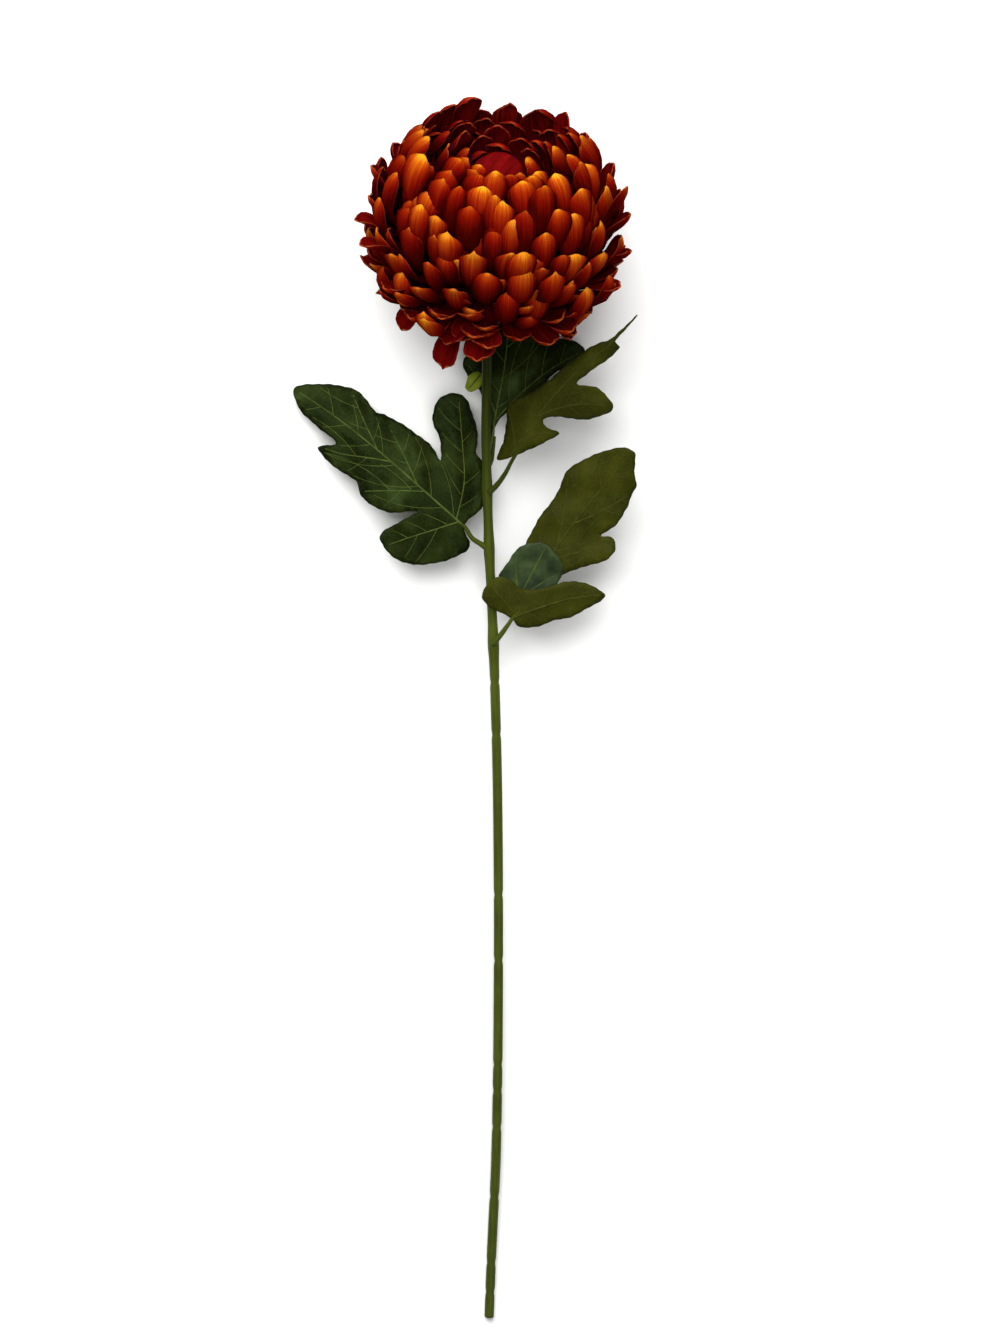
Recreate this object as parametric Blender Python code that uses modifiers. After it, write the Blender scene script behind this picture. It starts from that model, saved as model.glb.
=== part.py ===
"""One cut chrysanthemum of the incurved kind, lying on its side.

Metres, +Z up. The surface that the flower lies on is z = 0. The stem runs along Y with the head at
+Y, and the origin is the middle of the flower's outline on that surface.
"""
import math
import random

import bmesh
import bpy
from mathutils import Matrix, Vector
from mathutils.geometry import delaunay_2d_cdt

MM = 0.001

# The head: its middle, how far its axis nods up from the surface, and how far it leans to the right
HEAD_CENTRE = Vector((17.5, 277.0, 71.3)) * MM
HEAD_NOD = math.radians(27.0)
HEAD_LEAN = math.radians(5.0)
HEAD_SEED = 11

# The receptacle that carries the petals, as radius and height on the head's axis: a round bottom,
# a dished top and the small dome that the innermost petals wrap
RECEPTACLE = (
    (0.0, -52.0), (10.0, -51.2), (20.0, -48.0), (31.0, -41.0), (41.0, -30.0), (48.0, -16.0),
    (50.0, 0.0), (48.0, 14.0), (42.0, 22.0), (30.0, 22.0), (18.0, 21.0), (11.0, 26.0),
    (8.0, 34.0), (0.0, 38.0),
)
RECEPTACLE_SIDES = 20
RECEPTACLE_RADIUS = 50.0 * MM

# Petals: sizes, and the four stations between root and tip as a share of the length, a share of the
# half width and a share of the half width that the edges curl in by
PETAL_HALF_WIDTH = 8.4 * MM
PETAL_THICKNESS = 1.3 * MM
PETAL_SINK = 5.0 * MM
PETAL_STATIONS = ((0.10, 0.34, 0.10), (0.45, 0.74, 0.30), (0.76, 1.00, 0.42), (0.94, 0.66, 0.38))
PETAL_TIP_HOOK = 2.0 * MM
GOLDEN_ANGLE = math.pi * (3.0 - math.sqrt(5.0))

# The globe: petals in a spiral from the lower end of the receptacle up, with the lower rows closer.
# Angles in degrees: of the lowest and highest root, of a petal's start off the receptacle, and of
# its curl over it at the tip, which the lowest petals lose. The crown is lower on its front side.
# A spread is how far a draw may stray.
OUTER_PETALS = 118
OUTER_LENGTH = 50.0 * MM
OUTER_ROOTS = (27.0, 112.0)
OUTER_CROWDING = 1.15
OUTER_LIFT = (62.0, 8.0)
OUTER_CURL = (42.0, 46.0)
OUTER_SHORTER = 0.2
OUTER_WIDTHS = (0.92, 0.12)
FRONT_SHORTER = 0.22
AZIMUTH_SPREAD = 6.0
LIFT_SPREAD = 7.0
CURL_SPREAD = 12.0
TWIST_SPREAD = 24.0
LENGTH_DRAWS = (0.88, 1.06)
WIDTH_DRAWS = (0.84, 1.08)

# The crown's inner wall: root radius and length in mm and headings in degrees, each with what it
# gains from the outermost petal to the innermost
INNER_PETALS = 28
INNER_RADIUS = (44.0, -20.0)
INNER_HEIGHT = 20.5
INNER_START = (70.0, 14.0)
INNER_FINISH = (140.0, 14.0)
INNER_LENGTH = (36.0, -11.0)
INNER_WIDTH = 0.9

# The heart: petals that wrap one another in a smooth bud, in mm and degrees
HEART_PETALS = 7
HEART_RADIUS = (15.0, -0.5)
HEART_HEIGHT = 20.0
HEART_HEADINGS = (84.0, 172.0)
HEART_LENGTH = (37.0, 0.4)

# Petals that stand off from the globe: degrees round the head, degrees of the root up from the head's
# lower end, headings at root and tip in degrees, and length and half width in mm
LOOSE_PETALS = (
    (241.0, 33.0, -45.0, -75.0, 39.0, 7.2),
    (188.0, 55.0, -25.0, -45.0, 24.0, 7.2),
    (212.0, 42.0, -30.0, -60.0, 31.0, 7.2),
    (254.0, 40.0, -20.0, -50.0, 25.0, 7.2),
    (267.0, 30.0, -40.0, -70.0, 28.0, 7.2),
    (326.0, 38.0, -10.0, -55.0, 31.0, 7.2),
    (347.0, 46.0, -12.0, -40.0, 27.0, 7.2),
    (210.0, 74.0, 8.0, 30.0, 42.0, 7.2),
    (195.0, 80.0, 15.0, 30.0, 36.0, 7.2),
    (188.0, 86.0, 20.0, 45.0, 31.0, 7.2),
    (179.0, 95.0, 28.0, 58.0, 34.0, 7.2),
    (165.0, 102.0, 40.0, 75.0, 31.0, 6.6),
    (161.0, 106.0, 55.0, 92.0, 27.0, 6.0),
    (166.0, 105.0, 85.0, 100.0, 38.0, 4.0),
    (84.0, 112.0, 90.0, 110.0, 41.0, 4.2),
    (88.0, 110.0, 88.0, 106.0, 39.0, 4.2),
    (41.0, 106.0, 75.0, 110.0, 45.0, 7.0),
    (25.0, 104.0, 60.0, 100.0, 40.0, 7.0),
    (0.0, 98.0, 45.0, 85.0, 40.0, 7.2),
    (340.0, 90.0, 35.0, 75.0, 50.0, 7.2),
    (344.0, 84.0, 25.0, 55.0, 40.0, 7.2),
    (348.0, 72.0, 5.0, 25.0, 35.0, 7.2),
    (336.0, 60.0, -5.0, 15.0, 38.0, 7.2),
)

# The cup of green bracts under the head, as radius and height on the head's axis
CUP = (
    (17.5, -50.4), (15.5, -54.5), (9.0, -59.5), (4.6, -62.0), (0.0, -62.0),
)
CUP_INSIDE = ((0.0, -52.4), (10.0, -51.7), (17.5, -49.5))
BRACTS = 12
BRACT_ROOT = (9.0 * MM, -58.6 * MM)
BRACT_START = math.radians(32.0)
BRACT_FINISH = math.radians(48.0)
BRACT_SINK = 2.0 * MM
BRACT_LENGTH = 12.5 * MM
BRACT_HALF_WIDTH = 3.4 * MM
BRACT_THICKNESS = 1.4 * MM

# The stem: its middle line as Y and X, its thickness, the rings pressed round it, the joints where
# leaves grow, and the collar under the cup as mm below its top and a share of the radius
STEM_RADIUS = 2.7 * MM
STEM_LINE = (
    (-350.0, 14.3), (-318.0, 15.5), (-250.0, 18.5), (-150.0, 19.7), (-50.0, 19.2), (16.0, 17.6),
    (58.0, 16.0), (95.0, 14.3), (155.0, 12.6), (200.0, 13.0),
)
STEM_RISE = 0.047
STEM_NECK_RUN = 35.0 * MM
STEM_RINGS = (-335.0, -318.0, -280.0, -240.0, -219.0, -204.0, -144.0, -106.0, -14.0, 16.0)
STEM_RING_DEPTH = 0.15
STEM_RING_REACH = 2.2 * MM
STEM_RING_EDGES = (-4.0, 0.0, 4.0)
STEM_JOINTS = (38.0, 93.0, 127.0)
STEM_JOINT_SWELL = 0.20
STEM_JOINT_REACH = 8.0 * MM
STEM_STEP = 17.0 * MM
STEM_SMALLEST_STEP = 2.5 * MM
STEM_FOOT_ROUND = 1.2 * MM
STEM_FOOT_WIDTH = 0.68
STEM_COLLAR_RUN = 9.0 * MM
STEM_COLLAR = ((5.0, 1.15), (0.0, 1.3))
SEAT_GAP = 0.3 * MM

# Leaves: blade thickness, how finely a margin and a blade are divided, and the stalk's thickness
BLADE_THICKNESS = 0.8 * MM
MARGIN_STEP = 5.0 * MM
BLADE_STEP = 9.0 * MM
STALK_RADIUS = 1.4 * MM
STALK_WIDTHS = (1.25, 0.5)
ROW_SHARE = math.sqrt(0.75)
SAME_POINT = 0.0001

# A blade's keel is rounded over a width in mm, and its ripples turn by so many radians per mm along
# and across it, and reach their full height at a distance from the keel
KEEL_ROUNDING = 3.0
RIPPLE_TURNS = (0.21, 0.16)
RIPPLE_REACH = 15.0

# Colours of the materials
PETAL_COLOUR = (0.45, 0.09, 0.01)
LEAF_COLOUR = (0.03, 0.06, 0.01)
UNDERSIDE_COLOUR = (0.09, 0.10, 0.01)
STEM_COLOUR = (0.08, 0.10, 0.02)

# Leaf outlines are in mm along and across the midrib from the blade's base, left of it positive.
# A form is rise per mm, sag at the reach, roll per mm, fall per mm off the keel, keel offset, ripple.
LEAVES = {
    "leaf_left": {
        "base": (0.0, 105.3, 21.3), "heading": 141.3,
        "stalk": ((14.0, 92.0, 22.9), (9.0, 95.5, 22.9), (4.5, 98.6, 22.3), (0.0, 105.3, 21.3),
                  (-9.0, 112.5, 21.7)),
        "blades": ({
            "reach": 126.0, "form": (0.10, 27.0, 0.03, 0.12, 0.0, 1.2),
            "outline": (
                (0, 0), (-8, 5), (-10, 9), (-4, 22), (6, 33), (18, 39), (34, 35), (31, 22), (26, 10.5),
                (41, 22), (58, 23), (64, 18.5), (78, 20), (94, 17), (87, 9), (103, 8), (114, 7),
                (126, 0), (123, -6), (112, -15), (99, -22), (90, -22), (80, -19.5), (76, -21.5),
                (60, -24), (42, -24), (34, -21), (42, -30), (53, -37), (57, -47), (53, -56), (46, -58),
                (33, -51), (25, -44), (20.5, -36.5), (16, -36), (8, -28), (-1, -16),
            ),
        },),
    },
    "leaf_under_bloom": {
        "base": (16.6, 151.7, 21.6), "heading": 81.7,
        "stalk": ((13.0, 138.0, 23.6), (15.5, 143.0, 21.3), (16.6, 149.0, 21.1), (17.6, 157.0, 20.7)),
        "blades": ({
            "reach": 68.0, "form": (-0.04, 6.5, 0.02, 0.06, 0.0, 0.8),
            "outline": (
                (-6, 1), (3, 0), (12, 0), (17.5, -3), (22, -8), (29, -17), (36, -25), (42, -26),
                (49, -32), (55, -41), (62, -44), (67, -36), (66, -26), (65, -17), (70, -8), (72, 1),
                (68, 10), (59, 14), (52, 20), (45, 24), (37, 20), (30, 12), (20, 8), (8, 6), (-2, 5),
            ),
        },),
    },
    "leaf_upper_right": {
        "base": (29.2, 145.4, 36.2), "heading": 49.6,
        "stalk": ((14.5, 124.5, 27.2), (19.5, 129.5, 30.2), (24.0, 136.0, 33.2), (28.0, 143.5, 35.7),
                  (36.0, 155.0, 38.2)),
        "blades": ({
            "reach": 107.0, "form": (0.30, 3.0, 0.0, 0.45, 6.0, 1.0), "fall": 0.55,
            "outline": (
                (-2, 1), (-8, 6), (3, 11), (13, 17), (19, 22), (30, 18), (41, 14), (62, 10.5), (73, 8.5),
                (84, 5), (95, 3.5), (107, 0), (95, -1), (87, -4), (77, -4.5), (61, -1), (54, 0),
                (60, -12), (57, -25), (45, -20), (37, -11), (32, -3), (26, 1), (24, -3), (26, -11),
                (16, -7.5), (8, -4),
            ),
        },),
    },
    "leaf_lower_right": {
        "base": (29.8, 56.1, 29.5), "heading": 53.2,
        "stalk": ((16.5, 37.5, 22.0), (21.0, 43.0, 25.0), (25.0, 48.5, 27.5), (29.0, 54.0, 29.5),
                  (36.0, 60.0, 31.0)),
        "blades": (
            {
                "reach": 113.0, "form": (0.02, -22.0, 0.0, 0.10, 0.0, 1.0),
                "outline": (
                    (-5, 0), (3, 7), (16, 13), (35, 19), (50, 21.5), (70, 22), (80, 25), (91, 22),
                    (103, 15), (111, 8), (113, 0), (108, -4), (103, -7), (99, -12), (92, -13),
                    (86, -15), (75, -16), (64, -13), (67, -18), (63, -24), (56, -24), (47, -18),
                    (34, -9), (19, -6), (5, -5),
                ),
            },
            {
                "turn": 13.7, "reach": 42.0, "form": (0.10, -4.0, 0.0, 0.12, 0.0, 0.6),
                "outline": (
                    (-4, 1), (6, 10), (14, 15), (25, 14.5), (33, 13.5), (38, 10), (42, 1), (40, -7),
                    (35, -14), (28, -16), (18, -13), (5, -6),
                ),
            },
            {
                "base": (27.5, 52.7, 29.5), "turn": -39.9,
                "reach": 55.0, "form": (0.12, 2.0, 0.30, 0.04, 4.0, 0.8),
                "outline": (
                    (0, -1), (-6, 5), (-12, 10), (-14, 16), (-9, 22), (-3, 25), (4, 21), (10, 14.5),
                    (18, 12.5), (33, 13), (42, 11.5), (49, 7), (55, 0), (45, -4), (34, -7), (23, -7),
                    (12, -8), (3, -6),
                ),
            },
        ),
    },
}


def clear_scene():
    for old in list(bpy.data.objects):
        bpy.data.objects.remove(old, do_unlink=True)


def new_collection(name):
    collection = bpy.data.collections.new(name)
    bpy.context.scene.collection.children.link(collection)
    return collection


def new_material(name, colour, roughness):
    material = bpy.data.materials.new(name)
    material.use_nodes = True
    shader = material.node_tree.nodes["Principled BSDF"]
    shader.inputs["Base Color"].default_value = (*colour, 1.0)
    shader.inputs["Roughness"].default_value = roughness
    shader.inputs["Metallic"].default_value = 0.0
    return material


def new_object(name, mesh, collection, material=None):
    item = bpy.data.objects.new(name, mesh)
    collection.objects.link(item)
    if material:
        mesh.materials.clear()
        mesh.materials.append(material)
    return item


def finished_mesh(item):
    """The mesh of an object with its modifiers or its curve bevel worked out."""
    graph = bpy.context.evaluated_depsgraph_get()
    return bpy.data.meshes.new_from_object(item.evaluated_get(graph))


def face_outwards(shape):
    """Turn every face of one closed body to point out of it."""
    bmesh.ops.recalc_face_normals(shape, faces=shape.faces)
    if shape.calc_volume(signed=True) < 0.0:
        bmesh.ops.reverse_faces(shape, faces=shape.faces)


def mesh_from_curve(curve_object):
    """Turn a tube into a closed mesh object and remove the curve."""
    mesh = finished_mesh(curve_object)
    shape = bmesh.new()
    shape.from_mesh(mesh)
    bmesh.ops.remove_doubles(shape, verts=shape.verts, dist=0.00001)
    face_outwards(shape)
    shape.to_mesh(mesh)
    shape.free()
    collection = curve_object.users_collection[0]
    name = curve_object.name
    place = curve_object.matrix_world.copy()
    bpy.data.objects.remove(curve_object, do_unlink=True)
    item = new_object(name, mesh, collection)
    item.matrix_world = place
    return item


def tube(name, points, radii, sides_level, collection):
    """A round bar along points, with its own radius at each point and filled ends."""
    curve = bpy.data.curves.new(name, "CURVE")
    curve.dimensions = "3D"
    curve.bevel_depth = 1.0
    curve.bevel_resolution = sides_level
    curve.use_fill_caps = True
    spline = curve.splines.new("POLY")
    spline.points.add(len(points) - 1)
    for knot, point, radius in zip(spline.points, points, radii):
        knot.co = (*point, 1.0)
        knot.radius = radius
    item = bpy.data.objects.new(name, curve)
    collection.objects.link(item)
    return mesh_from_curve(item)


def keep_outer_shell(mesh):
    """Drop loose scraps and the walls of sealed hollows, and keep the largest closed body."""
    shape = bmesh.new()
    shape.from_mesh(mesh)
    unseen = set(shape.faces)
    shells = []
    while unseen:
        front = [unseen.pop()]
        shell = set(front)
        while front:
            face = front.pop()
            for edge in face.edges:
                for other in edge.link_faces:
                    if other in unseen:
                        unseen.discard(other)
                        shell.add(other)
                        front.append(other)
        shells.append(shell)
    shells.sort(key=len, reverse=True)
    spare = [face for shell in shells[1:] for face in shell]
    bmesh.ops.delete(shape, geom=spare, context="FACES")
    shape.to_mesh(mesh)
    shape.free()


def fuse(base, pieces, solver="EXACT"):
    """Join every object of a collection to a base in one body."""
    joint = base.modifiers.new("fuse", "BOOLEAN")
    joint.operation = "UNION"
    joint.operand_type = "COLLECTION"
    joint.collection = pieces
    joint.solver = solver
    mesh = finished_mesh(base)
    base.modifiers.clear()
    base.data = mesh
    for piece in list(pieces.objects):
        bpy.data.objects.remove(piece, do_unlink=True)
    bpy.data.collections.remove(pieces)
    keep_outer_shell(base.data)


def turned(name, profile, sides, collection):
    """A closed turned solid from a profile that starts and ends on the axis."""
    shape = bmesh.new()
    knots = [shape.verts.new((radius * MM, 0.0, height * MM)) for radius, height in profile]
    for first, second in zip(knots, knots[1:]):
        shape.edges.new((first, second))
    mesh = bpy.data.meshes.new(name)
    shape.to_mesh(mesh)
    shape.free()
    item = new_object(name, mesh, collection)
    screw = item.modifiers.new("turn", "SCREW")
    screw.axis = "Z"
    screw.steps = sides
    screw.render_steps = sides
    screw.use_merge_vertices = True
    screw.merge_threshold = 0.00005
    item.data = finished_mesh(item)
    item.modifiers.clear()
    shape = bmesh.new()
    shape.from_mesh(item.data)
    bmesh.ops.remove_doubles(shape, verts=shape.verts, dist=0.00005)
    face_outwards(shape)
    shape.to_mesh(item.data)
    shape.free()
    return item


def head_matrix():
    """From the head's own frame, with its axis along Z, to its place on the surface."""
    nod = Matrix.Rotation(HEAD_NOD - math.pi / 2.0, 4, "X")
    lean = Matrix.Rotation(HEAD_LEAN, 4, "Y")
    return Matrix.Translation(HEAD_CENTRE) @ nod @ lean


class Petal:
    """A spoon-shaped petal: a strip that bends in an arc from its root to its tip."""

    def __init__(self, azimuth, root, start, finish, length, half_width, twist, sink=PETAL_SINK):
        self.out = Vector((math.cos(azimuth), math.sin(azimuth), 0.0))
        self.side = Vector((-math.sin(azimuth), math.cos(azimuth), 0.0))
        self.root_radius, self.root_height = root
        self.start = start
        self.bend = (finish - start) / length
        self.length = length
        self.half_width = half_width
        self.twist = twist
        self.sink = sink

    def middle(self, distance):
        """A point of the middle line, the petal's outer normal and its width direction there."""
        heading = self.start + self.bend * distance
        radius = self.root_radius + (math.sin(heading) - math.sin(self.start)) / self.bend
        height = self.root_height - (math.cos(heading) - math.cos(self.start)) / self.bend
        up = Vector((0.0, 0.0, 1.0))
        along = self.out * math.cos(heading) + up * math.sin(heading)
        outer = self.out * math.sin(heading) - up * math.cos(heading)
        roll = Matrix.Rotation(self.twist * distance / self.length, 3, along)
        return self.out * radius + up * height, roll @ outer, roll @ self.side


def split_quads(ball):
    """Split the quads of a petal's ball alike on both faces, so that its thin wall can't cross itself.

    The split runs from a corner on the petal's edge towards the tip.
    """
    for face in [face for face in ball.faces if len(face.verts) == 4]:
        on_edge = [corner for corner in face.verts if abs(corner.co.x) > abs(corner.co.y)]
        on_face = [corner for corner in face.verts if abs(corner.co.x) < abs(corner.co.y)]
        lower = min(on_edge, key=lambda corner: corner.co.z)
        upper = max(on_face, key=lambda corner: corner.co.z)
        bmesh.utils.face_split(face, lower, upper)


def petal_object(petal, name, place, collection, thickness=PETAL_THICKNESS, hook=PETAL_TIP_HOOK):
    """A petal with four sides and four stations, shaped from a ball with its poles at the ends.

    The petals under the head are pressed flat on the surface: no corner goes below it, and the
    corners of a petal's upper face keep its thickness above it.
    """
    rings = len(PETAL_STATIONS) + 1
    shape = bmesh.new()
    bmesh.ops.create_uvsphere(shape, u_segments=4, v_segments=rings, radius=1.0)
    split_quads(shape)
    for corner in shape.verts:
        ball = corner.co.copy()
        ring = round(math.acos(max(-1.0, min(1.0, -ball.z))) / (math.pi / rings))
        floor = 0.0
        if ring == 0:
            point, outer, side = petal.middle(-petal.sink)
        elif ring == rings:
            point, outer, side = petal.middle(petal.length)
            point = point - outer * hook
        else:
            share, width_share, curl_share = PETAL_STATIONS[ring - 1]
            half_width = petal.half_width * width_share
            point, outer, side = petal.middle(petal.length * share)
            if abs(ball.x) > abs(ball.y):
                point = point + side * math.copysign(half_width, ball.x)
                point = point - outer * (petal.half_width * curl_share)
            else:
                point = point + outer * math.copysign(thickness / 2.0, ball.y)
                faces_up = (place.to_3x3() @ outer).z * ball.y > 0.0
                floor = thickness if faces_up else 0.0
        corner.co = place @ point
        corner.co.z = max(corner.co.z, floor)
    face_outwards(shape)
    mesh = bpy.data.meshes.new(name)
    shape.to_mesh(mesh)
    shape.free()
    return new_object(name, mesh, collection)


def outer_petals(draw):
    """The petals of the globe, from the lowest up."""
    petals = []
    low, high = (math.cos(math.radians(angle)) for angle in OUTER_ROOTS)
    for index in range(OUTER_PETALS):
        share = (index + 0.5) / OUTER_PETALS
        polar = math.acos(low + (high - low) * share ** OUTER_CROWDING)
        azimuth = index * GOLDEN_ANGLE + math.radians(draw.uniform(-AZIMUTH_SPREAD, AZIMUTH_SPREAD))
        root = (RECEPTACLE_RADIUS * math.sin(polar), -RECEPTACLE_RADIUS * math.cos(polar))
        lift = OUTER_LIFT[0] + OUTER_LIFT[1] * share + draw.uniform(-LIFT_SPREAD, LIFT_SPREAD)
        curl = OUTER_CURL[0] - OUTER_CURL[1] * (1.0 - share) ** 3
        curl += draw.uniform(-CURL_SPREAD, CURL_SPREAD)
        length = OUTER_LENGTH * (1.0 - OUTER_SHORTER * (1.0 - share) ** 4)
        length *= 1.0 - FRONT_SHORTER * share * share * max(0.0, -math.sin(azimuth))
        length *= draw.uniform(*LENGTH_DRAWS)
        half_width = PETAL_HALF_WIDTH * (OUTER_WIDTHS[0] + OUTER_WIDTHS[1] * share)
        half_width *= draw.uniform(*WIDTH_DRAWS)
        twist = math.radians(draw.uniform(-TWIST_SPREAD, TWIST_SPREAD))
        petals.append(Petal(azimuth, root, polar - math.radians(lift), polar + math.radians(curl),
                            length, half_width, twist))
    return petals


def inner_petals(draw):
    """The shorter petals of the crown's inner wall."""
    petals = []
    for index in range(INNER_PETALS):
        share = (index + 0.5) / INNER_PETALS
        azimuth = (OUTER_PETALS + index) * GOLDEN_ANGLE
        azimuth += math.radians(draw.uniform(-AZIMUTH_SPREAD, AZIMUTH_SPREAD))
        root = ((INNER_RADIUS[0] + INNER_RADIUS[1] * share) * MM, INNER_HEIGHT * MM)
        start = INNER_START[0] + INNER_START[1] * share + draw.uniform(-LIFT_SPREAD, LIFT_SPREAD)
        finish = INNER_FINISH[0] + INNER_FINISH[1] * share + draw.uniform(-CURL_SPREAD, CURL_SPREAD)
        length = (INNER_LENGTH[0] + INNER_LENGTH[1] * share) * MM * draw.uniform(*LENGTH_DRAWS)
        length *= 1.0 - FRONT_SHORTER * max(0.0, -math.sin(azimuth))
        half_width = PETAL_HALF_WIDTH * INNER_WIDTH * draw.uniform(*WIDTH_DRAWS)
        twist = math.radians(draw.uniform(-TWIST_SPREAD, TWIST_SPREAD))
        petals.append(Petal(azimuth, root, math.radians(start), math.radians(finish), length,
                            half_width, twist))
    return petals


def heart_petals():
    """The petals that wrap the heart."""
    start, finish = (math.radians(angle) for angle in HEART_HEADINGS)
    petals = []
    for index in range(HEART_PETALS):
        root = ((HEART_RADIUS[0] + HEART_RADIUS[1] * index) * MM, HEART_HEIGHT * MM)
        length = (HEART_LENGTH[0] + HEART_LENGTH[1] * index) * MM
        petals.append(Petal(index * GOLDEN_ANGLE, root, start, finish, length, PETAL_HALF_WIDTH, 0.0))
    return petals


def loose_petals():
    """The petals that stand off from the globe."""
    petals = []
    for azimuth, polar, start, finish, length, half_width in LOOSE_PETALS:
        polar = math.radians(polar)
        root = (RECEPTACLE_RADIUS * math.sin(polar), -RECEPTACLE_RADIUS * math.cos(polar))
        petals.append(Petal(math.radians(azimuth), root, math.radians(start), math.radians(finish),
                            length * MM, half_width * MM, 0.0))
    return petals


def make_bloom(collection, material):
    place = head_matrix()
    bloom = turned("bloom", RECEPTACLE, RECEPTACLE_SIDES, collection)
    bloom.data.transform(place)
    bloom.data.materials.append(material)
    pieces = new_collection("petals")
    draw = random.Random(HEAD_SEED)
    petals = outer_petals(draw) + inner_petals(draw) + heart_petals() + loose_petals()
    for index, petal in enumerate(petals):
        petal_object(petal, f"petal_{index:03d}", place, pieces)
    fuse(bloom, pieces, "MANIFOLD")
    return bloom


def make_calyx(collection, material):
    place = head_matrix()
    calyx = turned("calyx", CUP_INSIDE + CUP, RECEPTACLE_SIDES, collection)
    calyx.data.transform(place)
    calyx.data.materials.append(material)
    pieces = new_collection("bracts")
    for index in range(BRACTS):
        azimuth = math.tau * (index + 0.5) / BRACTS
        bract = Petal(azimuth, BRACT_ROOT, BRACT_START, BRACT_FINISH, BRACT_LENGTH,
                      BRACT_HALF_WIDTH, 0.0, BRACT_SINK)
        petal_object(bract, f"bract_{index:02d}", place, pieces, BRACT_THICKNESS, 0.0)
    fuse(calyx, pieces)
    return calyx


def eased(knots, value):
    """The second number of a list of pairs, as a smooth curve through them in the first."""
    last = len(knots) - 1
    index = 0
    while index < last - 1 and value > knots[index + 1][0]:
        index += 1
    first, second = knots[index], knots[index + 1]
    before = knots[max(index - 1, 0)]
    after = knots[min(index + 2, last)]
    run = second[0] - first[0]
    share = (value - first[0]) / run
    slope_in = (second[1] - before[1]) / (second[0] - before[0]) * run
    slope_out = (after[1] - first[1]) / (after[0] - first[0]) * run
    square, cube = share * share, share * share * share
    return ((2 * cube - 3 * square + 1) * first[1] + (cube - 2 * square + share) * slope_in
            + (3 * square - 2 * cube) * second[1] + (cube - square) * slope_out)


def head_axis():
    return head_matrix().to_3x3() @ Vector((0.0, 0.0, 1.0))


def stem_top():
    """The stem's end under the cup."""
    return head_matrix() @ Vector((0.0, 0.0, CUP[-1][1] * MM - SEAT_GAP))


def stem_point(along):
    """The stem's middle at a distance along Y: nearly straight, and bending up at the neck."""
    top = stem_top()
    foot = STEM_LINE[0][0] * MM
    neck = head_axis().z / head_axis().y - STEM_RISE
    neck_rise = neck * STEM_NECK_RUN * math.exp((along - top.y) / STEM_NECK_RUN)
    straight = top.z - neck * STEM_NECK_RUN - STEM_RADIUS
    height = STEM_RADIUS + straight * (along - foot) / (top.y - foot) + neck_rise
    line = STEM_LINE + ((top.y / MM, top.x / MM),)
    return Vector((eased(line, along / MM) * MM, along, height))


def stem_width(along):
    """The stem's radius at a distance along Y, drawn in at its rings and swollen at its joints."""
    radius = STEM_RADIUS
    for ring in STEM_RINGS:
        reach = (along - ring * MM) / STEM_RING_REACH
        radius -= STEM_RADIUS * STEM_RING_DEPTH * math.exp(-reach * reach)
    for joint in STEM_JOINTS:
        reach = (along - joint * MM) / STEM_JOINT_REACH
        radius += STEM_RADIUS * STEM_JOINT_SWELL * math.exp(-reach * reach)
    return radius


def stem_stations():
    """The places along Y where the stem has a ring of corners."""
    top = stem_top()
    foot = STEM_LINE[0][0] * MM
    places = set()
    steps = round((top.y - foot) / STEM_STEP)
    for index in range(steps):
        places.add(round(foot + (top.y - foot) * index / steps, 5))
    for ring in STEM_RINGS:
        for offset in STEM_RING_EDGES:
            places.add(round((ring + offset) * MM, 5))
    kept = []
    for place in sorted(places):
        clear = not kept or place - kept[-1] > STEM_SMALLEST_STEP
        if clear and foot <= place < top.y - STEM_COLLAR_RUN:
            kept.append(place)
    return kept


def make_stem(collection, material, growth=0.0, name="stem"):
    """The stem as one tube with a rounded foot. Growth widens it, for seating the leaf stalks."""
    places = stem_stations()
    points = [stem_point(place) for place in places]
    radii = [stem_width(place) + growth for place in places]
    foot = points[0]
    points[0] = foot + Vector((0.0, STEM_FOOT_ROUND, 0.0))
    points.insert(0, foot)
    radii.insert(0, radii[0] * STEM_FOOT_WIDTH)
    for below, width in STEM_COLLAR:
        points.append(stem_top() - head_axis() * below * MM)
        radii.append(STEM_RADIUS * width + growth)
    stem = tube(name, points, radii, 3, collection)
    if material:
        stem.data.materials.append(material)
    return stem


def smooth_margin(corners):
    """A closed curve through a leaf's outline points, finer where they lie far apart."""
    count = len(corners)
    margin = []
    for index in range(count):
        before, first, second, after = (Vector(corners[(index + k) % count]) for k in (-1, 0, 1, 2))
        gaps = [math.sqrt(max((b - a).length, 0.1)) for a, b in
                ((before, first), (first, second), (second, after))]
        reach = (second - first).length
        slope_in = ((first - before) / gaps[0] - (second - before) / (gaps[0] + gaps[1])
                    + (second - first) / gaps[1]) * gaps[1]
        slope_out = ((second - first) / gaps[1] - (after - first) / (gaps[1] + gaps[2])
                     + (after - second) / gaps[2]) * gaps[1]
        steps = max(1, round(reach * MM / MARGIN_STEP))
        for step in range(steps):
            share = step / steps
            square, cube = share * share, share * share * share
            margin.append((2 * cube - 3 * square + 1) * first + (cube - 2 * square + share) * slope_in
                          + (3 * square - 2 * cube) * second + (cube - square) * slope_out)
    return margin


def inside(point, margin):
    """Whether a point lies in a closed outline, and how far it is from the nearest corner."""
    crossings = 0
    nearest = min((point - corner).length for corner in margin)
    for first, second in zip(margin, margin[1:] + margin[:1]):
        if (first.y > point.y) != (second.y > point.y):
            level = first.x + (point.y - first.y) * (second.x - first.x) / (second.y - first.y)
            crossings += level > point.x
    return crossings % 2 == 1, nearest


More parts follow.
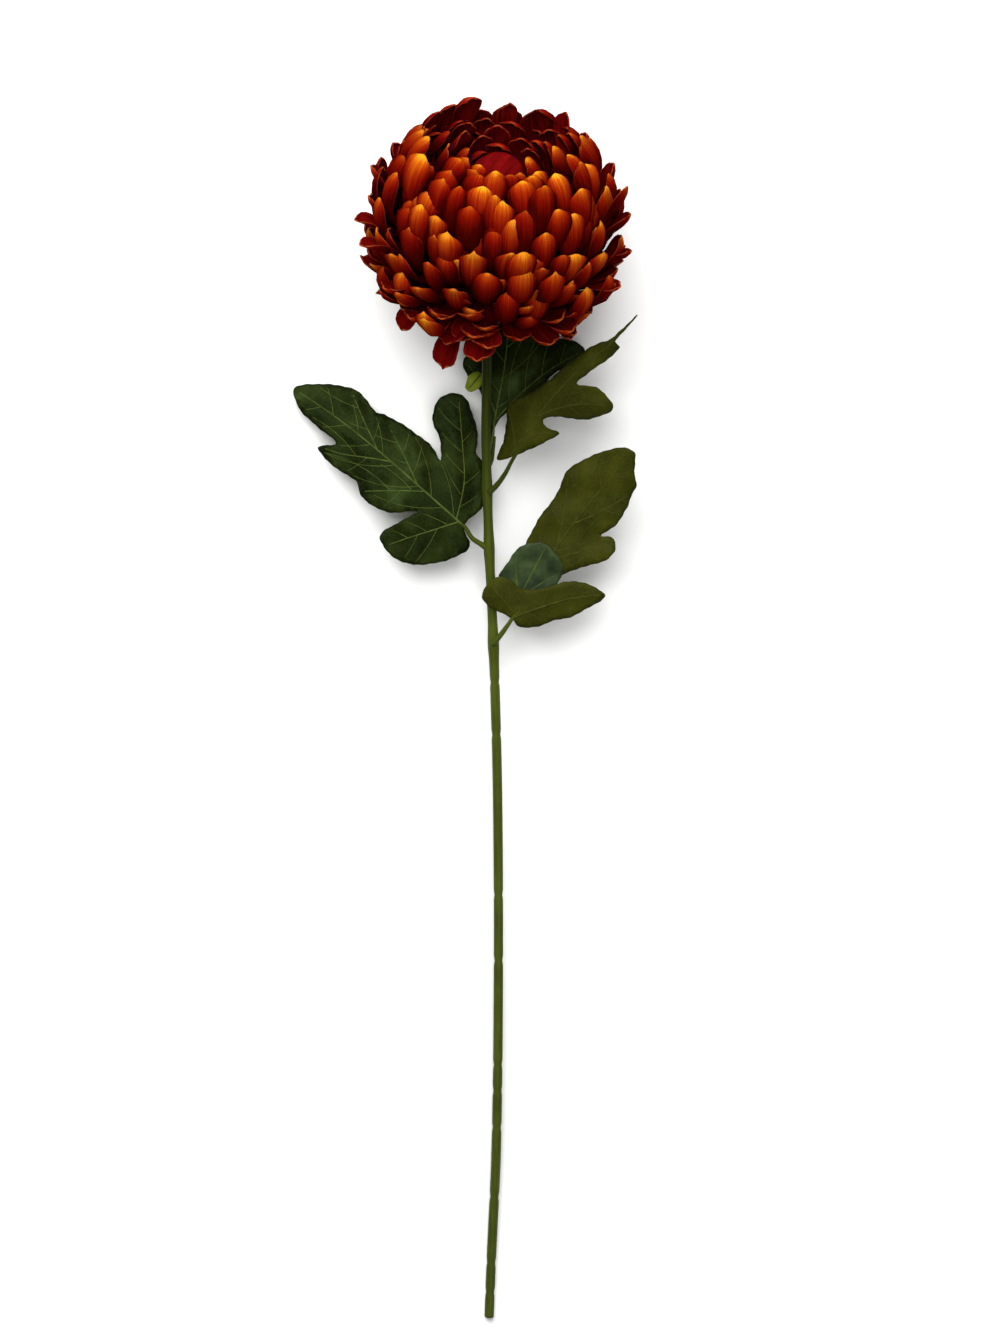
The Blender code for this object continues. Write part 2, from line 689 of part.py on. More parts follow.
def flat_blade(corners):
    """A leaf's flat blade in triangles: corners along its margin and an even net inside it."""
    margin = smooth_margin(corners)
    step = BLADE_STEP / MM
    points = list(margin)
    lowest = Vector((min(p.x for p in margin), min(p.y for p in margin)))
    highest = Vector((max(p.x for p in margin), max(p.y for p in margin)))
    rows = math.ceil((highest.y - lowest.y) / (step * ROW_SHARE))
    columns = math.ceil((highest.x - lowest.x) / step)
    for row in range(rows + 1):
        for column in range(columns + 1):
            shift = 0.5 * step * (row % 2)
            point = Vector((lowest.x + column * step + shift, lowest.y + row * step * ROW_SHARE))
            within, nearest = inside(point, margin)
            if within and nearest > 0.5 * step:
                points.append(point)
    edges = [(k, (k + 1) % len(margin)) for k in range(len(margin))]
    found = delaunay_2d_cdt(points, edges, [], 1, SAME_POINT)
    return found[0], found[2]


def blade_object(name, blade, leaf, collection):
    """A thin leaf blade: its flat shape is bent to its heights and given its thickness."""
    corners, faces = flat_blade(blade["outline"])
    heading = math.radians(leaf["heading"] + blade.get("turn", 0.0))
    ahead = Vector((math.cos(heading), math.sin(heading), 0.0))
    left = Vector((-math.sin(heading), math.cos(heading), 0.0))
    base = Vector(blade.get("base", leaf["base"]))
    shape = bmesh.new()
    knots = []
    for corner in corners:
        lift = blade_height(blade, corner.x, corner.y)
        point = base + ahead * corner.x + left * corner.y + Vector((0.0, 0.0, lift))
        knots.append(shape.verts.new(point * MM))
    for face in faces:
        shape.faces.new([knots[k] for k in face])
    bmesh.ops.recalc_face_normals(shape, faces=shape.faces)
    mesh = bpy.data.meshes.new(name)
    shape.to_mesh(mesh)
    shape.free()
    item = new_object(name, mesh, collection)
    wall = item.modifiers.new("wall", "SOLIDIFY")
    wall.thickness = BLADE_THICKNESS
    wall.offset = 0.0
    item.data = finished_mesh(item)
    item.modifiers.clear()
    return item


def blade_height(blade, along, across):
    """The height in mm of a blade above its base, at a distance along and across its midrib."""
    rise, sag, roll, keel, keel_at, ripple = blade["form"]
    reach = blade["reach"]
    offset = across - keel_at * math.sin(math.pi * min(max(along / reach, 0.0), 1.0))
    ridge = math.hypot(offset, KEEL_ROUNDING) - KEEL_ROUNDING
    turn = along * RIPPLE_TURNS[0] + across * RIPPLE_TURNS[1]
    wave = ripple * math.sin(turn) * min(1.0, abs(offset) / RIPPLE_REACH)
    fall = blade.get("fall", 0.0) * max(offset, 0.0)
    return rise * along - sag * (along / reach) ** 2 + roll * across - keel * ridge + wave - fall


def make_leaf(name, leaf, collection, material):
    """One leaf: its stalk and blades fused in one body, seated just clear of the stem."""
    stalk_points = [Vector(point) * MM for point in leaf["stalk"]]
    last = len(stalk_points) - 1
    taper = STALK_WIDTHS[1] - STALK_WIDTHS[0]
    radii = [STALK_RADIUS * (STALK_WIDTHS[0] + taper * k / last) for k in range(last + 1)]
    leaf_object = tube(name, stalk_points, radii, 2, collection)
    pieces = new_collection(name + "_blades")
    for index, blade in enumerate(leaf["blades"]):
        blade_object(f"{name}_blade_{index}", blade, leaf, pieces)
    fuse(leaf_object, pieces)
    cutters = new_collection(name + "_cutters")
    seat = make_stem(cutters, None, SEAT_GAP, name + "_seat")
    seat.hide_render = True
    seat.display_type = "WIRE"
    cut = leaf_object.modifiers.new("seat", "BOOLEAN")
    cut.operation = "DIFFERENCE"
    cut.object = seat
    cut.solver = "EXACT"
    leaf_object.data = finished_mesh(leaf_object)
    leaf_object.modifiers.clear()
    bpy.data.objects.remove(seat, do_unlink=True)
    bpy.data.collections.remove(cutters)
    keep_outer_shell(leaf_object.data)
    leaf_object.data.materials.append(material)
    return leaf_object


def build():
    clear_scene()
    flower = new_collection("chrysanthemum")
    petal_orange = new_material("petal orange", PETAL_COLOUR, 0.55)
    leaf_green = new_material("leaf green", LEAF_COLOUR, 0.6)
    under_green = new_material("leaf underside green", UNDERSIDE_COLOUR, 0.65)
    stem_green = new_material("stem green", STEM_COLOUR, 0.5)
    make_stem(flower, stem_green)
    make_calyx(flower, leaf_green)
    make_bloom(flower, petal_orange)
    for name, leaf in LEAVES.items():
        seen_from_below = name.endswith("right")
        make_leaf(name, leaf, flower, under_green if seen_from_below else leaf_green)


build()
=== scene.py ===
"""A cut chrysanthemum with a globe of incurved orange petals, lying on its side on a pale surface.

Metres, +Z up. The stem runs along Y with the head at +Y, and the surface is z = 0.
"""
import random
from functools import partial
from math import acos, atan2, ceil, cos, exp, hypot, pi, radians, sin, sqrt, tau

import bmesh
import bpy
from mathutils import Matrix, Vector
from mathutils.geometry import delaunay_2d_cdt
from mathutils.kdtree import KDTree


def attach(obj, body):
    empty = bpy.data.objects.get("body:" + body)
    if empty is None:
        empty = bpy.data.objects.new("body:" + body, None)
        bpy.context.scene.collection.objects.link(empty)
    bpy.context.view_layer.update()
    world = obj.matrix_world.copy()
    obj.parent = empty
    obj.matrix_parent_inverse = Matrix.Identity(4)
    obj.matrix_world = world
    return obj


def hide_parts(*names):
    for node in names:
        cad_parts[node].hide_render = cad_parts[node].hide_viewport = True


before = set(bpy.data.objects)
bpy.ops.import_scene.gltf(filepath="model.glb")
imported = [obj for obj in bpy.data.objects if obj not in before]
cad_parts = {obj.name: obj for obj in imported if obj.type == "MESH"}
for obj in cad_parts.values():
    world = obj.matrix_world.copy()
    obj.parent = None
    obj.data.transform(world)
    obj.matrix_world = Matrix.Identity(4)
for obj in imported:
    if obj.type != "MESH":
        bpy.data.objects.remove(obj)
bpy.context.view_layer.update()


# Stem
# A long fibrous green shoot with faint ribs, drawn in at the rings where old leaves dropped off and
# swollen where leaves grow. It is a bar cut into short rings and bent along the stem's line.
MM = 0.001
UP = Vector((0.0, 0.0, 1.0))
HEAD_CENTRE = Vector((17.5, 277.0, 71.3)) * MM
HEAD_NOD = radians(27.0)
HEAD_LEAN = radians(5.0)
STEM_TOP_HEIGHT = -62.3 * MM
STEM_RADIUS = 2.7 * MM
STEM_LINE = (
    (-350, 14.3), (-318, 15.5), (-250, 18.5), (-150, 19.7), (-50, 19.2), (16, 17.6), (58, 16),
    (95, 14.3), (155, 12.6), (200, 13),
)
STEM_RISE = 0.047
NECK_RUN = 35.0 * MM
RINGS = (-335, -318, -280, -240, -219, -204, -144, -106, -14, 16)
RING_DEPTH = 0.16
RING_REACH = 1.7 * MM
JOINTS = (38, 93, 127)
JOINT_SWELL = 0.20
JOINT_REACH = 8.0 * MM
NECK_SWELL = 0.3
NECK_REACH = 9.0 * MM
STEM_SIDES = 32
STEM_CUTS = 18
RIBS = 8
RIB_HEIGHT = 0.035
RIB_TWIST = 40.0 * MM
FOOT_ROUND = 1.3 * MM
DOUBLED = 0.001 * MM


def linear(hex_colour):
    """An sRGB hex colour as linear red, green, blue and alpha."""
    parts = [int(hex_colour[k:k + 2], 16) / 255.0 for k in (1, 3, 5)]
    return (*[p / 12.92 if p <= 0.04045 else ((p + 0.055) / 1.055) ** 2.4 for p in parts], 1.0)


def live_output(node):
    return next(socket for socket in node.outputs if socket.enabled)


def add_node(tree, kind, links=None, stops=None, into=None, **settings):
    """Add a shader node with its settings, its values or links by input, and its ramp's colours.

    A link is a socket, or a node for its live output. A colour mix takes its colours at inputs 6
    and 7. What a finish ends in goes into an input of its surface shader.
    """
    node = tree.nodes.new("ShaderNode" + kind)
    for name, value in settings.items():
        setattr(node, name, value)
    for place, value in (links or {}).items():
        if isinstance(value, bpy.types.Node):
            value = live_output(value)
        if isinstance(value, bpy.types.NodeSocket):
            tree.links.new(value, node.inputs[place])
        else:
            node.inputs[place].default_value = value
    if stops:
        ramp = node.color_ramp
        while len(ramp.elements) < len(stops):
            ramp.elements.new(0.5)
        for element, (position, colour) in zip(ramp.elements, stops):
            element.position = position
            element.color = linear(colour)
    if into:
        tree.links.new(live_output(node), tree.nodes["Principled BSDF"].inputs[into])
    return node


def new_finish(name, roughness, gloss=0.5, gloss_colour="#FFFFFF", colour=None):
    """A material with its roughness, its gloss and the colour of that, and what adds its nodes."""
    finish = bpy.data.materials.new(name)
    finish.use_nodes = True
    sockets = finish.node_tree.nodes["Principled BSDF"].inputs
    sockets["Roughness"].default_value = roughness
    sockets["Specular IOR Level"].default_value = gloss
    sockets["Specular Tint"].default_value = linear(gloss_colour)
    if colour:
        sockets["Base Color"].default_value = linear(colour)
    return finish, partial(add_node, finish.node_tree)


def pick_only(*pieces):
    """Select these pieces and nothing else, with the first one active."""
    bpy.ops.object.select_all(action="DESELECT")
    for piece in pieces:
        piece.select_set(True)
    bpy.context.view_layer.objects.active = pieces[0]


def added(name, operator, **settings):
    """A new piece from an operator that adds one, with nothing else selected."""
    bpy.ops.object.select_all(action="DESELECT")
    operator(**settings)
    piece = bpy.context.object
    piece.name = name
    return piece


def work_on_edges(piece, wanted, operator, **settings):
    """Run an edit operator on the edges whose two ends pass a test."""
    bpy.ops.object.mode_set(mode="EDIT")
    bpy.ops.mesh.select_all(action="DESELECT")
    shape = bmesh.from_edit_mesh(piece.data)
    for edge in shape.edges:
        edge.select = wanted(edge.verts[0].co, edge.verts[1].co)
    bmesh.update_edit_mesh(piece.data)
    operator(**settings)
    bpy.ops.object.mode_set(mode="OBJECT")


def close_skin(piece):
    """Merge the doubled points of a closed piece, turn its faces outwards and shade it smooth."""
    pick_only(piece)
    bpy.ops.object.mode_set(mode="EDIT")
    bpy.ops.mesh.select_all(action="SELECT")
    bpy.ops.mesh.remove_doubles(threshold=DOUBLED)
    bpy.ops.mesh.normals_make_consistent(inside=False)
    bpy.ops.object.mode_set(mode="OBJECT")
    bpy.ops.object.shade_smooth()


def curved(first, second, slope_in, slope_out, share):
    """The smooth curve with these slopes from one number or point to another, at a share of it."""
    square, cube = share * share, share * share * share
    return ((2 * cube - 3 * square + 1) * first + (cube - 2 * square + share) * slope_in
            + (3 * square - 2 * cube) * second + (cube - square) * slope_out)


def eased(knots, value):
    """The second number of a list of pairs, as a smooth curve through them in the first."""
    last = len(knots) - 1
    index = 0
    while index < last - 1 and value > knots[index + 1][0]:
        index += 1
    first, second = knots[index], knots[index + 1]
    before, after = knots[max(index - 1, 0)], knots[min(index + 2, last)]
    run = second[0] - first[0]
    slope_in = (second[1] - before[1]) / (second[0] - before[0]) * run
    slope_out = (after[1] - first[1]) / (after[0] - first[0]) * run
    return curved(first[1], second[1], slope_in, slope_out, (value - first[0]) / run)


def bell(distance, reach):
    """A share that falls from 1 to nothing as a distance grows past a reach."""
    return exp(-(distance / reach) ** 2)


head_place = (Matrix.Translation(HEAD_CENTRE) @ Matrix.Rotation(HEAD_NOD - pi / 2.0, 4, "X")
              @ Matrix.Rotation(HEAD_LEAN, 4, "Y"))
head_axis = head_place.to_3x3() @ UP
stem_top = head_place @ (UP * STEM_TOP_HEIGHT)
stem_foot = STEM_LINE[0][0] * MM
stem_length = stem_top.y - stem_foot


def stem_point(along):
    """The stem's middle at a distance along Y: nearly straight, and bending up at the neck."""
    neck = head_axis.z / head_axis.y - STEM_RISE
    neck_rise = neck * NECK_RUN * exp((along - stem_top.y) / NECK_RUN)
    straight = stem_top.z - neck * NECK_RUN - STEM_RADIUS
    height = STEM_RADIUS + straight * (along - stem_foot) / stem_length + neck_rise
    line = STEM_LINE + ((stem_top.y / MM, stem_top.x / MM),)
    return Vector((eased(line, along / MM) * MM, along, height))


def stem_width(along):
    """The stem's thickness at a distance along Y as a share of its radius."""
    width = 1.0
    for ring in RINGS:
        width -= RING_DEPTH * bell(along - ring * MM, RING_REACH)
    for joint in JOINTS:
        width += JOINT_SWELL * bell(along - joint * MM, JOINT_REACH)
    return width + NECK_SWELL * bell(stem_top.y - along, NECK_REACH)


stem = added("green_stem", bpy.ops.mesh.primitive_cylinder_add, vertices=STEM_SIDES,
             radius=STEM_RADIUS, depth=stem_length, end_fill_type="NGON")
for turn in range(2):
    work_on_edges(stem, lambda first, second: (first.xy - second.xy).length < 0.01 * MM,
                  bpy.ops.mesh.subdivide, number_cuts=STEM_CUTS)
work_on_edges(stem, lambda first, second: max(first.z, second.z) < -0.4999 * stem_length,
              bpy.ops.mesh.bevel, offset=FOOT_ROUND, segments=4)
for corner in stem.data.vertices:
    along = stem_foot + 0.5 * stem_length + corner.co.z
    angle = atan2(corner.co.y, corner.co.x)
    ribs = 1.0 + RIB_HEIGHT * cos(RIBS * angle + along / RIB_TWIST)
    radius = corner.co.xy.length * stem_width(along) * ribs
    ahead = (stem_point(along + MM) - stem_point(along - MM)).normalized()
    side = Vector((1.0, 0.0, 0.0))
    side = (side - ahead * side.dot(ahead)).normalized()
    out = side * cos(angle) + side.cross(ahead) * sin(angle)
    corner.co = stem_point(along) + out * radius
close_skin(stem)

# Stem skin: living green bark, satin, with long fibres about half a millimetre apart, darker towards
# the cut, and with painted shade that makes it much darker from the leaves up to the head. It gives
# the eye a dull olive rod with one soft line of light.
stem_skin, add = new_finish("stem skin", 0.45, 0.15, "#B4C070")
place = add("TexCoord").outputs["Object"]
fibre_place = add("Mapping", {0: place, "Scale": (1.0, 0.06, 1.0)})
fibres = add("TexNoise", {0: fibre_place, "Scale": 900.0, "Detail": 3.0})
blotch = add("TexNoise", {0: place, "Scale": 45.0, "Detail": 4.0})
along = add("SeparateXYZ", {0: place}).outputs["Y"]
aged = add("MapRange", {0: along, "From Min": -0.35, "From Max": 0.2})
age_colour = add("ValToRGB", {0: aged}, (
    (0.0, "#1F250A"), (0.30, "#2A3109"), (0.75, "#353E09"), (1.0, "#2E360A")))
streaked = add("Mix", {0: fibres, 6: age_colour, 7: linear("#48521A")}, data_type="RGBA")
faded = add("MapRange", {0: blotch, "From Min": 0.45, "From Max": 0.75, "To Max": 0.5})
mottled = add("Mix", {0: faded, 6: streaked, 7: linear("#272D07")}, data_type="RGBA")
# Painted shade: the stem is darkened from the leaves up to the head, where they shade it.
painted_shade_under_head = add("MapRange", {0: aged, "From Min": 0.72, "To Max": 0.8})
add("Mix", {0: painted_shade_under_head, 6: mottled, 7: linear("#141A04")}, into="Base Color", data_type="RGBA")
add("Bump", {"Strength": 0.35, "Distance": 0.3 * MM, "Height": fibres}, into="Normal")
stem.data.materials.append(stem_skin)
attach(stem, "root")
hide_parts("stem")


# Calyx
# The cup of small green bracts that holds the head on the stem: a fleshy cup with two rows of
# pointed scales that overlap like tiles. The scales are one scale copied round the cup.
CUP_PROFILE = (
    (0, -62), (4.6, -62), (9, -59.5), (13, -56.8), (15.5, -54.5), (17, -52), (17.5, -50.4),
    (17.3, -49.5), (10, -51.7), (0, -52.4),
)
TURNED_SIDES = 40
BRACTS_IN_ROW = 12
BRACT_ROWS = (
    {"shift": 0.5, "root": (9.0, -58.6), "angles": (32.0, 48.0), "length": 12.0, "half": 3.4},
    {"shift": 0.0, "root": (6.0, -61.0), "angles": (22.0, 46.0), "length": 10.0, "half": 3.1},
)
BRACT_SHAPE = ((0.0, 0.55), (0.3, 0.95), (0.55, 1.0), (0.8, 0.66), (1.0, 0.12))
BRACT_TIP_ROUND = 0.06
BRACT_CUP = 0.35
BRACT_LIFT = 0.6 * MM
BRACT_THICKNESS = 0.7 * MM


def level_pair(angle):
    """The level direction at an angle, and the one to its left."""
    return (Vector((cos(angle), sin(angle), 0.0)),
            Vector((-sin(angle), cos(angle), 0.0)))


class Bend:
    """The middle line of a petal or scale: an arc from its root that turns as it goes."""

    def __init__(self, azimuth, root, start, finish, length, half_width, twist=0.0):
        self.out, self.side = level_pair(azimuth)
        self.root_radius, self.root_height = root
        self.start = start
        self.bend = (finish - start) / length
        self.length = length
        self.half_width = half_width
        self.twist = twist

    def middle(self, distance):
        """A point of the middle line, the outer normal and the width direction there."""
        heading = self.start + self.bend * distance
        radius = self.root_radius + (sin(heading) - sin(self.start)) / self.bend
        height = self.root_height - (cos(heading) - cos(self.start)) / self.bend
        along = self.out * cos(heading) + UP * sin(heading)
        outer = self.out * sin(heading) - UP * cos(heading)
        roll = Matrix.Rotation(self.twist * distance / self.length, 3, along)
        return self.out * radius + UP * height, roll @ outer, roll @ self.side


def turned_solid(name, profile, finish):
    """A ball whose rings are moved to a profile of radius and height, and placed on the head."""
    rings = len(profile) - 1
    solid = added(name, bpy.ops.mesh.primitive_uv_sphere_add, segments=TURNED_SIDES,
                  ring_count=rings)
    for corner in solid.data.vertices:
        ring = round(acos(max(-1.0, min(1.0, -corner.co.z))) / pi * rings)
        radius, height = profile[ring]
        angle = atan2(corner.co.y, corner.co.x)
        point = Vector((radius * cos(angle), radius * sin(angle), height))
        corner.co = head_place @ (point * MM)
    close_skin(solid)
    solid.data.materials.append(finish)
    return solid


def sheet_master(name, columns, rows):
    """A flat sheet with a UV map, from -1 to 1 both ways, that petals and scales are bent from."""
    return added(name, bpy.ops.mesh.primitive_grid_add, x_subdivisions=columns,
                 y_subdivisions=rows, size=2.0)


def put_in_scene(name, data):
    """A new object with this data, in the scene."""
    piece = bpy.data.objects.new(name, data)
    bpy.context.scene.collection.objects.link(piece)
    return piece


def joined(name, pieces):
    pick_only(*pieces)
    bpy.ops.object.join()
    whole = bpy.context.object
    whole.name = name
    whole.data.name = name
    return whole


def give_wall(sheet, thickness, finishes, rim=0):
    """Give a sheet its thickness, and the finishes of its face, its back and its rim."""
    wall = sheet.modifiers.new("wall", "SOLIDIFY")
    wall.thickness = thickness
    wall.offset = 0.0
    wall.material_offset = 1
    wall.material_offset_rim = rim
    for finish in finishes:
        sheet.data.materials.append(finish)
    pick_only(sheet)
    bpy.ops.object.modifier_apply(modifier=wall.name)
    bpy.ops.object.shade_smooth()


def mottled_finish(name, roughness, gloss, scale, detail, stops):
    """A material whose colour runs through its stops by a soft mottle, its tree and that mottle."""
    finish, add = new_finish(name, roughness, gloss)
    place = add("TexCoord").outputs["Object"]
    mottle = add("TexNoise", {0: place, "Scale": scale, "Detail": detail})
    add("ValToRGB", {0: mottle}, stops, into="Base Color")
    return finish, add, mottle


# Calyx skin: waxy green tissue, satin, in mottled greens. It gives the eye a tight green cup between
# the red petals and the olive stem.
calyx_skin, add, mottle = mottled_finish("calyx skin", 0.5, 0.5, 260.0, 4.0, (
    (0.25, "#1D2A0B"), (0.55, "#33430F"), (0.8, "#4E5E1C")))
add("Bump", {"Strength": 0.3, "Distance": 0.3 * MM, "Height": mottle}, into="Normal")

cup = turned_solid("cup", CUP_PROFILE, calyx_skin)
scale_master = sheet_master("scale_master", 4, 6)
scales = []
for row in BRACT_ROWS:
    for index in range(BRACTS_IN_ROW):
        azimuth = tau * (index + row["shift"]) / BRACTS_IN_ROW
        root = [measure * MM for measure in row["root"]]
        start, finish = [radians(angle) for angle in row["angles"]]
        bend = Bend(azimuth, root, start, finish, row["length"] * MM, row["half"] * MM)
        scale = put_in_scene("scale", scale_master.data.copy())
        for corner in scale.data.vertices:
            across, share = corner.co.x, 0.5 + 0.5 * corner.co.y
            reach = share * (1.0 - BRACT_TIP_ROUND * across * across)
            point, outer, side = bend.middle(bend.length * reach)
            half = bend.half_width * eased(BRACT_SHAPE, share)
            sunk = BRACT_CUP * half * across * across
            corner.co = head_place @ (point + side * half * across + outer * (BRACT_LIFT - sunk))
        scales.append(scale)
bpy.data.objects.remove(scale_master)
scales = joined("scales", scales)
give_wall(scales, BRACT_THICKNESS, (calyx_skin,))
soft = scales.modifiers.new("soft", "SUBSURF")
soft.levels = soft.render_levels = 1
bpy.ops.object.modifier_apply(modifier=soft.name)
calyx = joined("green_calyx", [cup, scales])
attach(calyx, "root")
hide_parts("calyx")


# Receptacle
# The fleshy dome at the middle of the head that every petal grows from. It is turned to its profile
# and stays in the shade between the petals.
RECEPTACLE = (
    (0, -52), (10, -51.2), (20, -48), (31, -41), (41, -30), (48, -16), (50, 0), (48, 14), (42, 22),
    (30, 22), (18, 21), (11, 26), (8, 34), (0, 38),
)
# Receptacle flesh: soft plant tissue, coloured a near black red as painted shade. It gives the eye
# the dark red gaps between the petals.
# Painted shade: the dome is coloured near black red so that it passes for petals deep in shade.
painted_shade_flesh = mottled_finish("receptacle flesh", 0.8, 0.0, 300.0, 3.0, (
    (0.3, "#2A0101"), (0.7, "#460402")))[0]
receptacle = turned_solid("receptacle_dome", RECEPTACLE, painted_shade_flesh)
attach(receptacle, "root")
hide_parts("bloom")


# Petals
# Spoon-shaped ray petals of the incurved kind, soft and fleshy, set in a spiral round the dome and
# curling in over it. One flat sheet is copied, bent and cupped for each, and given its thickness.
PETAL_HALF_WIDTH = 8.4 * MM
PETAL_WALL = 0.8 * MM
PETAL_COLUMNS = 6
PETAL_ROWS = (-0.1, 0.14, 0.34, 0.52, 0.67, 0.79, 0.89, 0.96, 1)
PETAL_OUTLINE = ((-0.1, 0.30), (0.10, 0.38), (0.45, 0.78), (0.62, 0.98), (0.76, 1.05), (0.88, 0.97),
                 (0.96, 0.70), (1.0, 0.34))
PETAL_CUP = ((-0.1, 0.08), (0.10, 0.10), (0.45, 0.40), (0.72, 0.62), (0.88, 0.48), (1.0, 0.14))
# Draws for one petal: how deep it is cupped, how much deeper to one side, how far its tip is pointed,
# how far its tip hooks in, and how far it leans.
FLUTE_DRAWS = (-0.18, 0.14)
LOP_SPREAD = 0.22
POINT_CHOICES = (0, 0, 0, 0.03)
POINT_WIDTH = 0.35
PETAL_HOOK = 2.0 * MM
HOOK_CHOICES = (1, 1, 1.5, 0.5, -0.4)
SKEW_SPREAD = 0.08
TIP_START = 0.8
TIP_ROUND = 0.04
RUFFLE_DEPTH = 0.06
RUFFLE_TURN = 6.0
DOME_RADIUS = 50.0 * MM
GOLDEN_ANGLE = pi * (3.0 - sqrt(5.0))
# The globe. Of two numbers, the first holds at the lower end and the second is the change to the top.
OUTER_PETALS = 118
OUTER_LENGTH = 50.0 * MM
OUTER_ROOTS = (27, 112)
OUTER_CROWDING = 1.15
OUTER_LIFT = (62, 8)
OUTER_CURL = (42, 46)
OUTER_SHORTER = 0.2
OUTER_WIDTHS = (0.92, 0.12)
FRONT_SHORTER = 0.22
AZIMUTH_SPREAD = 6.0
LIFT_SPREAD = 7.0
CURL_SPREAD = 12.0
TWIST_SPREAD = 24.0
LENGTH_DRAWS = (0.88, 1.06)
WIDTH_DRAWS = (0.84, 1.08)
INNER_PETALS = 28
INNER_RADIUS = (44, -20)
INNER_HEIGHT = 20.5
INNER_START = (70, 14)
INNER_FINISH = (140, 14)
INNER_LENGTH = (36, -11)
INNER_WIDTH = 0.9
FILLER_PETALS = 130
FILLER_ROOTS = (20, 106)
FILLER_RIPENING = 1.6
FILLER_LIFT = 60.0
FILLER_CURL = (-22, 64)
FILLER_LENGTH = (36, 6)
FILLER_LENGTH_DRAWS = (0.85, 1.08)
FILLER_WIDTH = 0.9
FILLER_SPREADS = (12, 8, 10, 24)
# The heart. Of two numbers, the first is the innermost petal's and the second is added at each next.
HEART_PETALS = 8
HEART_RADIUS = (17, 0.35)
HEART_HEIGHT = (22, 0.35)
HEART_FOOT = 17.5
HEART_SWEEP = (-8, 112)
HEART_WRAP = 62.0
# Petals set one by one: azimuth and root angle, start and end of the arc, length and half width.
LOOSE_PETALS = (
    (241, 33, -45, -75, 39, 7.2), (188, 55, -25, -45, 24, 7.2), (212, 42, -30, -60, 31, 7.2),
    (254, 40, -20, -50, 25, 7.2), (267, 30, -40, -70, 28, 7.2), (326, 38, -10, -55, 31, 7.2),
    (347, 46, -12, -40, 27, 7.2), (210, 74, 8, 30, 42, 7.2), (195, 80, 15, 30, 36, 7.2),
    (188, 86, 20, 45, 31, 7.2), (179, 95, 28, 58, 34, 7.2), (165, 102, 40, 75, 31, 6.6),
    (161, 106, 55, 92, 27, 6), (166, 105, 85, 100, 38, 4), (84, 112, 90, 110, 41, 4.2),
    (88, 110, 88, 106, 39, 4.2), (41, 106, 75, 110, 45, 7), (25, 104, 60, 100, 40, 7),
    (0, 98, 45, 85, 40, 7.2), (340, 90, 35, 75, 50, 7.2), (344, 84, 25, 55, 40, 7.2),
    (348, 72, 5, 25, 35, 7.2), (336, 60, -5, 15, 38, 7.2),
)
LAP_PETALS = (
    (294, 46.8, -40.7, 123.2, 54, 8.6), (278, 51.6, -46.7, 118.2, 54, 7.2),
    (320, 53.9, -63.8, 114.3, 53, 7.4), (238, 38, -60, 80, 56, 6.6),
    (242, 42, -60.6, 76.8, 59, 6.6), (220, 53.7, -66.9, 121.6, 50, 7.2),
    (206, 54.6, -75.6, 115.5, 52, 7.4), (335, 60.7, -68.1, 109.5, 53, 7.2),
    (283, 70.6, -47.1, 128.8, 49, 8), (297, 71.2, -47.8, 115.8, 50, 8),
)
NECK_PETALS = (
    (270, 45, -60, 8, 36, 7.6), (314, 46, -50, 20, 36, 8.6), (265, 42, -70, -8, 39, 8),
    (307, 42, -62, 6, 34, 9), (262, 46, -55, 15, 32, 7.5), (289, 42, -60, 10, 29, 8),
    (236, 44, -62, -5, 29, 8.4), (248, 44, -62, 0, 32, 8.4), (218, 62, -40, 30, 36, 8),
    (324, 62, -40, 40, 29, 8), (227, 48, -55, 10, 32, 7.8), (221, 54, -45, 20, 31, 7.8),
    (144, 108, 58, 88, 27, 3), (85, 112, 58, 84, 33, 3),
)
PRESS_HEIGHT = 6.0 * MM
PRESS_FLOOR = 0.55 * PETAL_WALL
# Painted light: petals on the lit side of the head, and those high up, are painted more orange.
LIT_SIDE = (0.55, 0.95)
LIT_RISE = 0.75
LOW_ROW_PAINTED_LIGHT = 0.25
draw = random.Random(11)
whim = random.Random(5)


def spread(reach, dice=draw):
    """A seeded draw of up to this much either way."""
    return dice.uniform(-reach, reach)


def clamped(share):
    return min(1.0, max(0.0, share))


def stepped(pair, share):
    """The first number of a pair, and the second as often as the share says."""
    return pair[0] + pair[1] * share


def root_at(polar):
    """The radius and height of the dome's skin at an angle from its foot."""
    return DOME_RADIUS * sin(polar), -DOME_RADIUS * cos(polar)


def outer_bends():
    """The petals of the globe from its lower end up."""
    low, high = (cos(radians(angle)) for angle in OUTER_ROOTS)
    for index in range(OUTER_PETALS):
        share = (index + 0.5) / OUTER_PETALS
        polar = acos(low + (high - low) * share ** OUTER_CROWDING)
        azimuth = index * GOLDEN_ANGLE + radians(spread(AZIMUTH_SPREAD))
        lift = stepped(OUTER_LIFT, share) + spread(LIFT_SPREAD)
        curl = OUTER_CURL[0] - OUTER_CURL[1] * (1.0 - share) ** 3
        curl += spread(CURL_SPREAD)
        length = OUTER_LENGTH * (1.0 - OUTER_SHORTER * (1.0 - share) ** 4)
        length *= 1.0 - FRONT_SHORTER * share * share * max(0.0, -sin(azimuth))
        length *= draw.uniform(*LENGTH_DRAWS)
        half_width = PETAL_HALF_WIDTH * stepped(OUTER_WIDTHS, share)
        half_width *= draw.uniform(*WIDTH_DRAWS)
        yield Bend(azimuth, root_at(polar), polar - radians(lift), polar + radians(curl),
                   length, half_width, radians(spread(TWIST_SPREAD)))


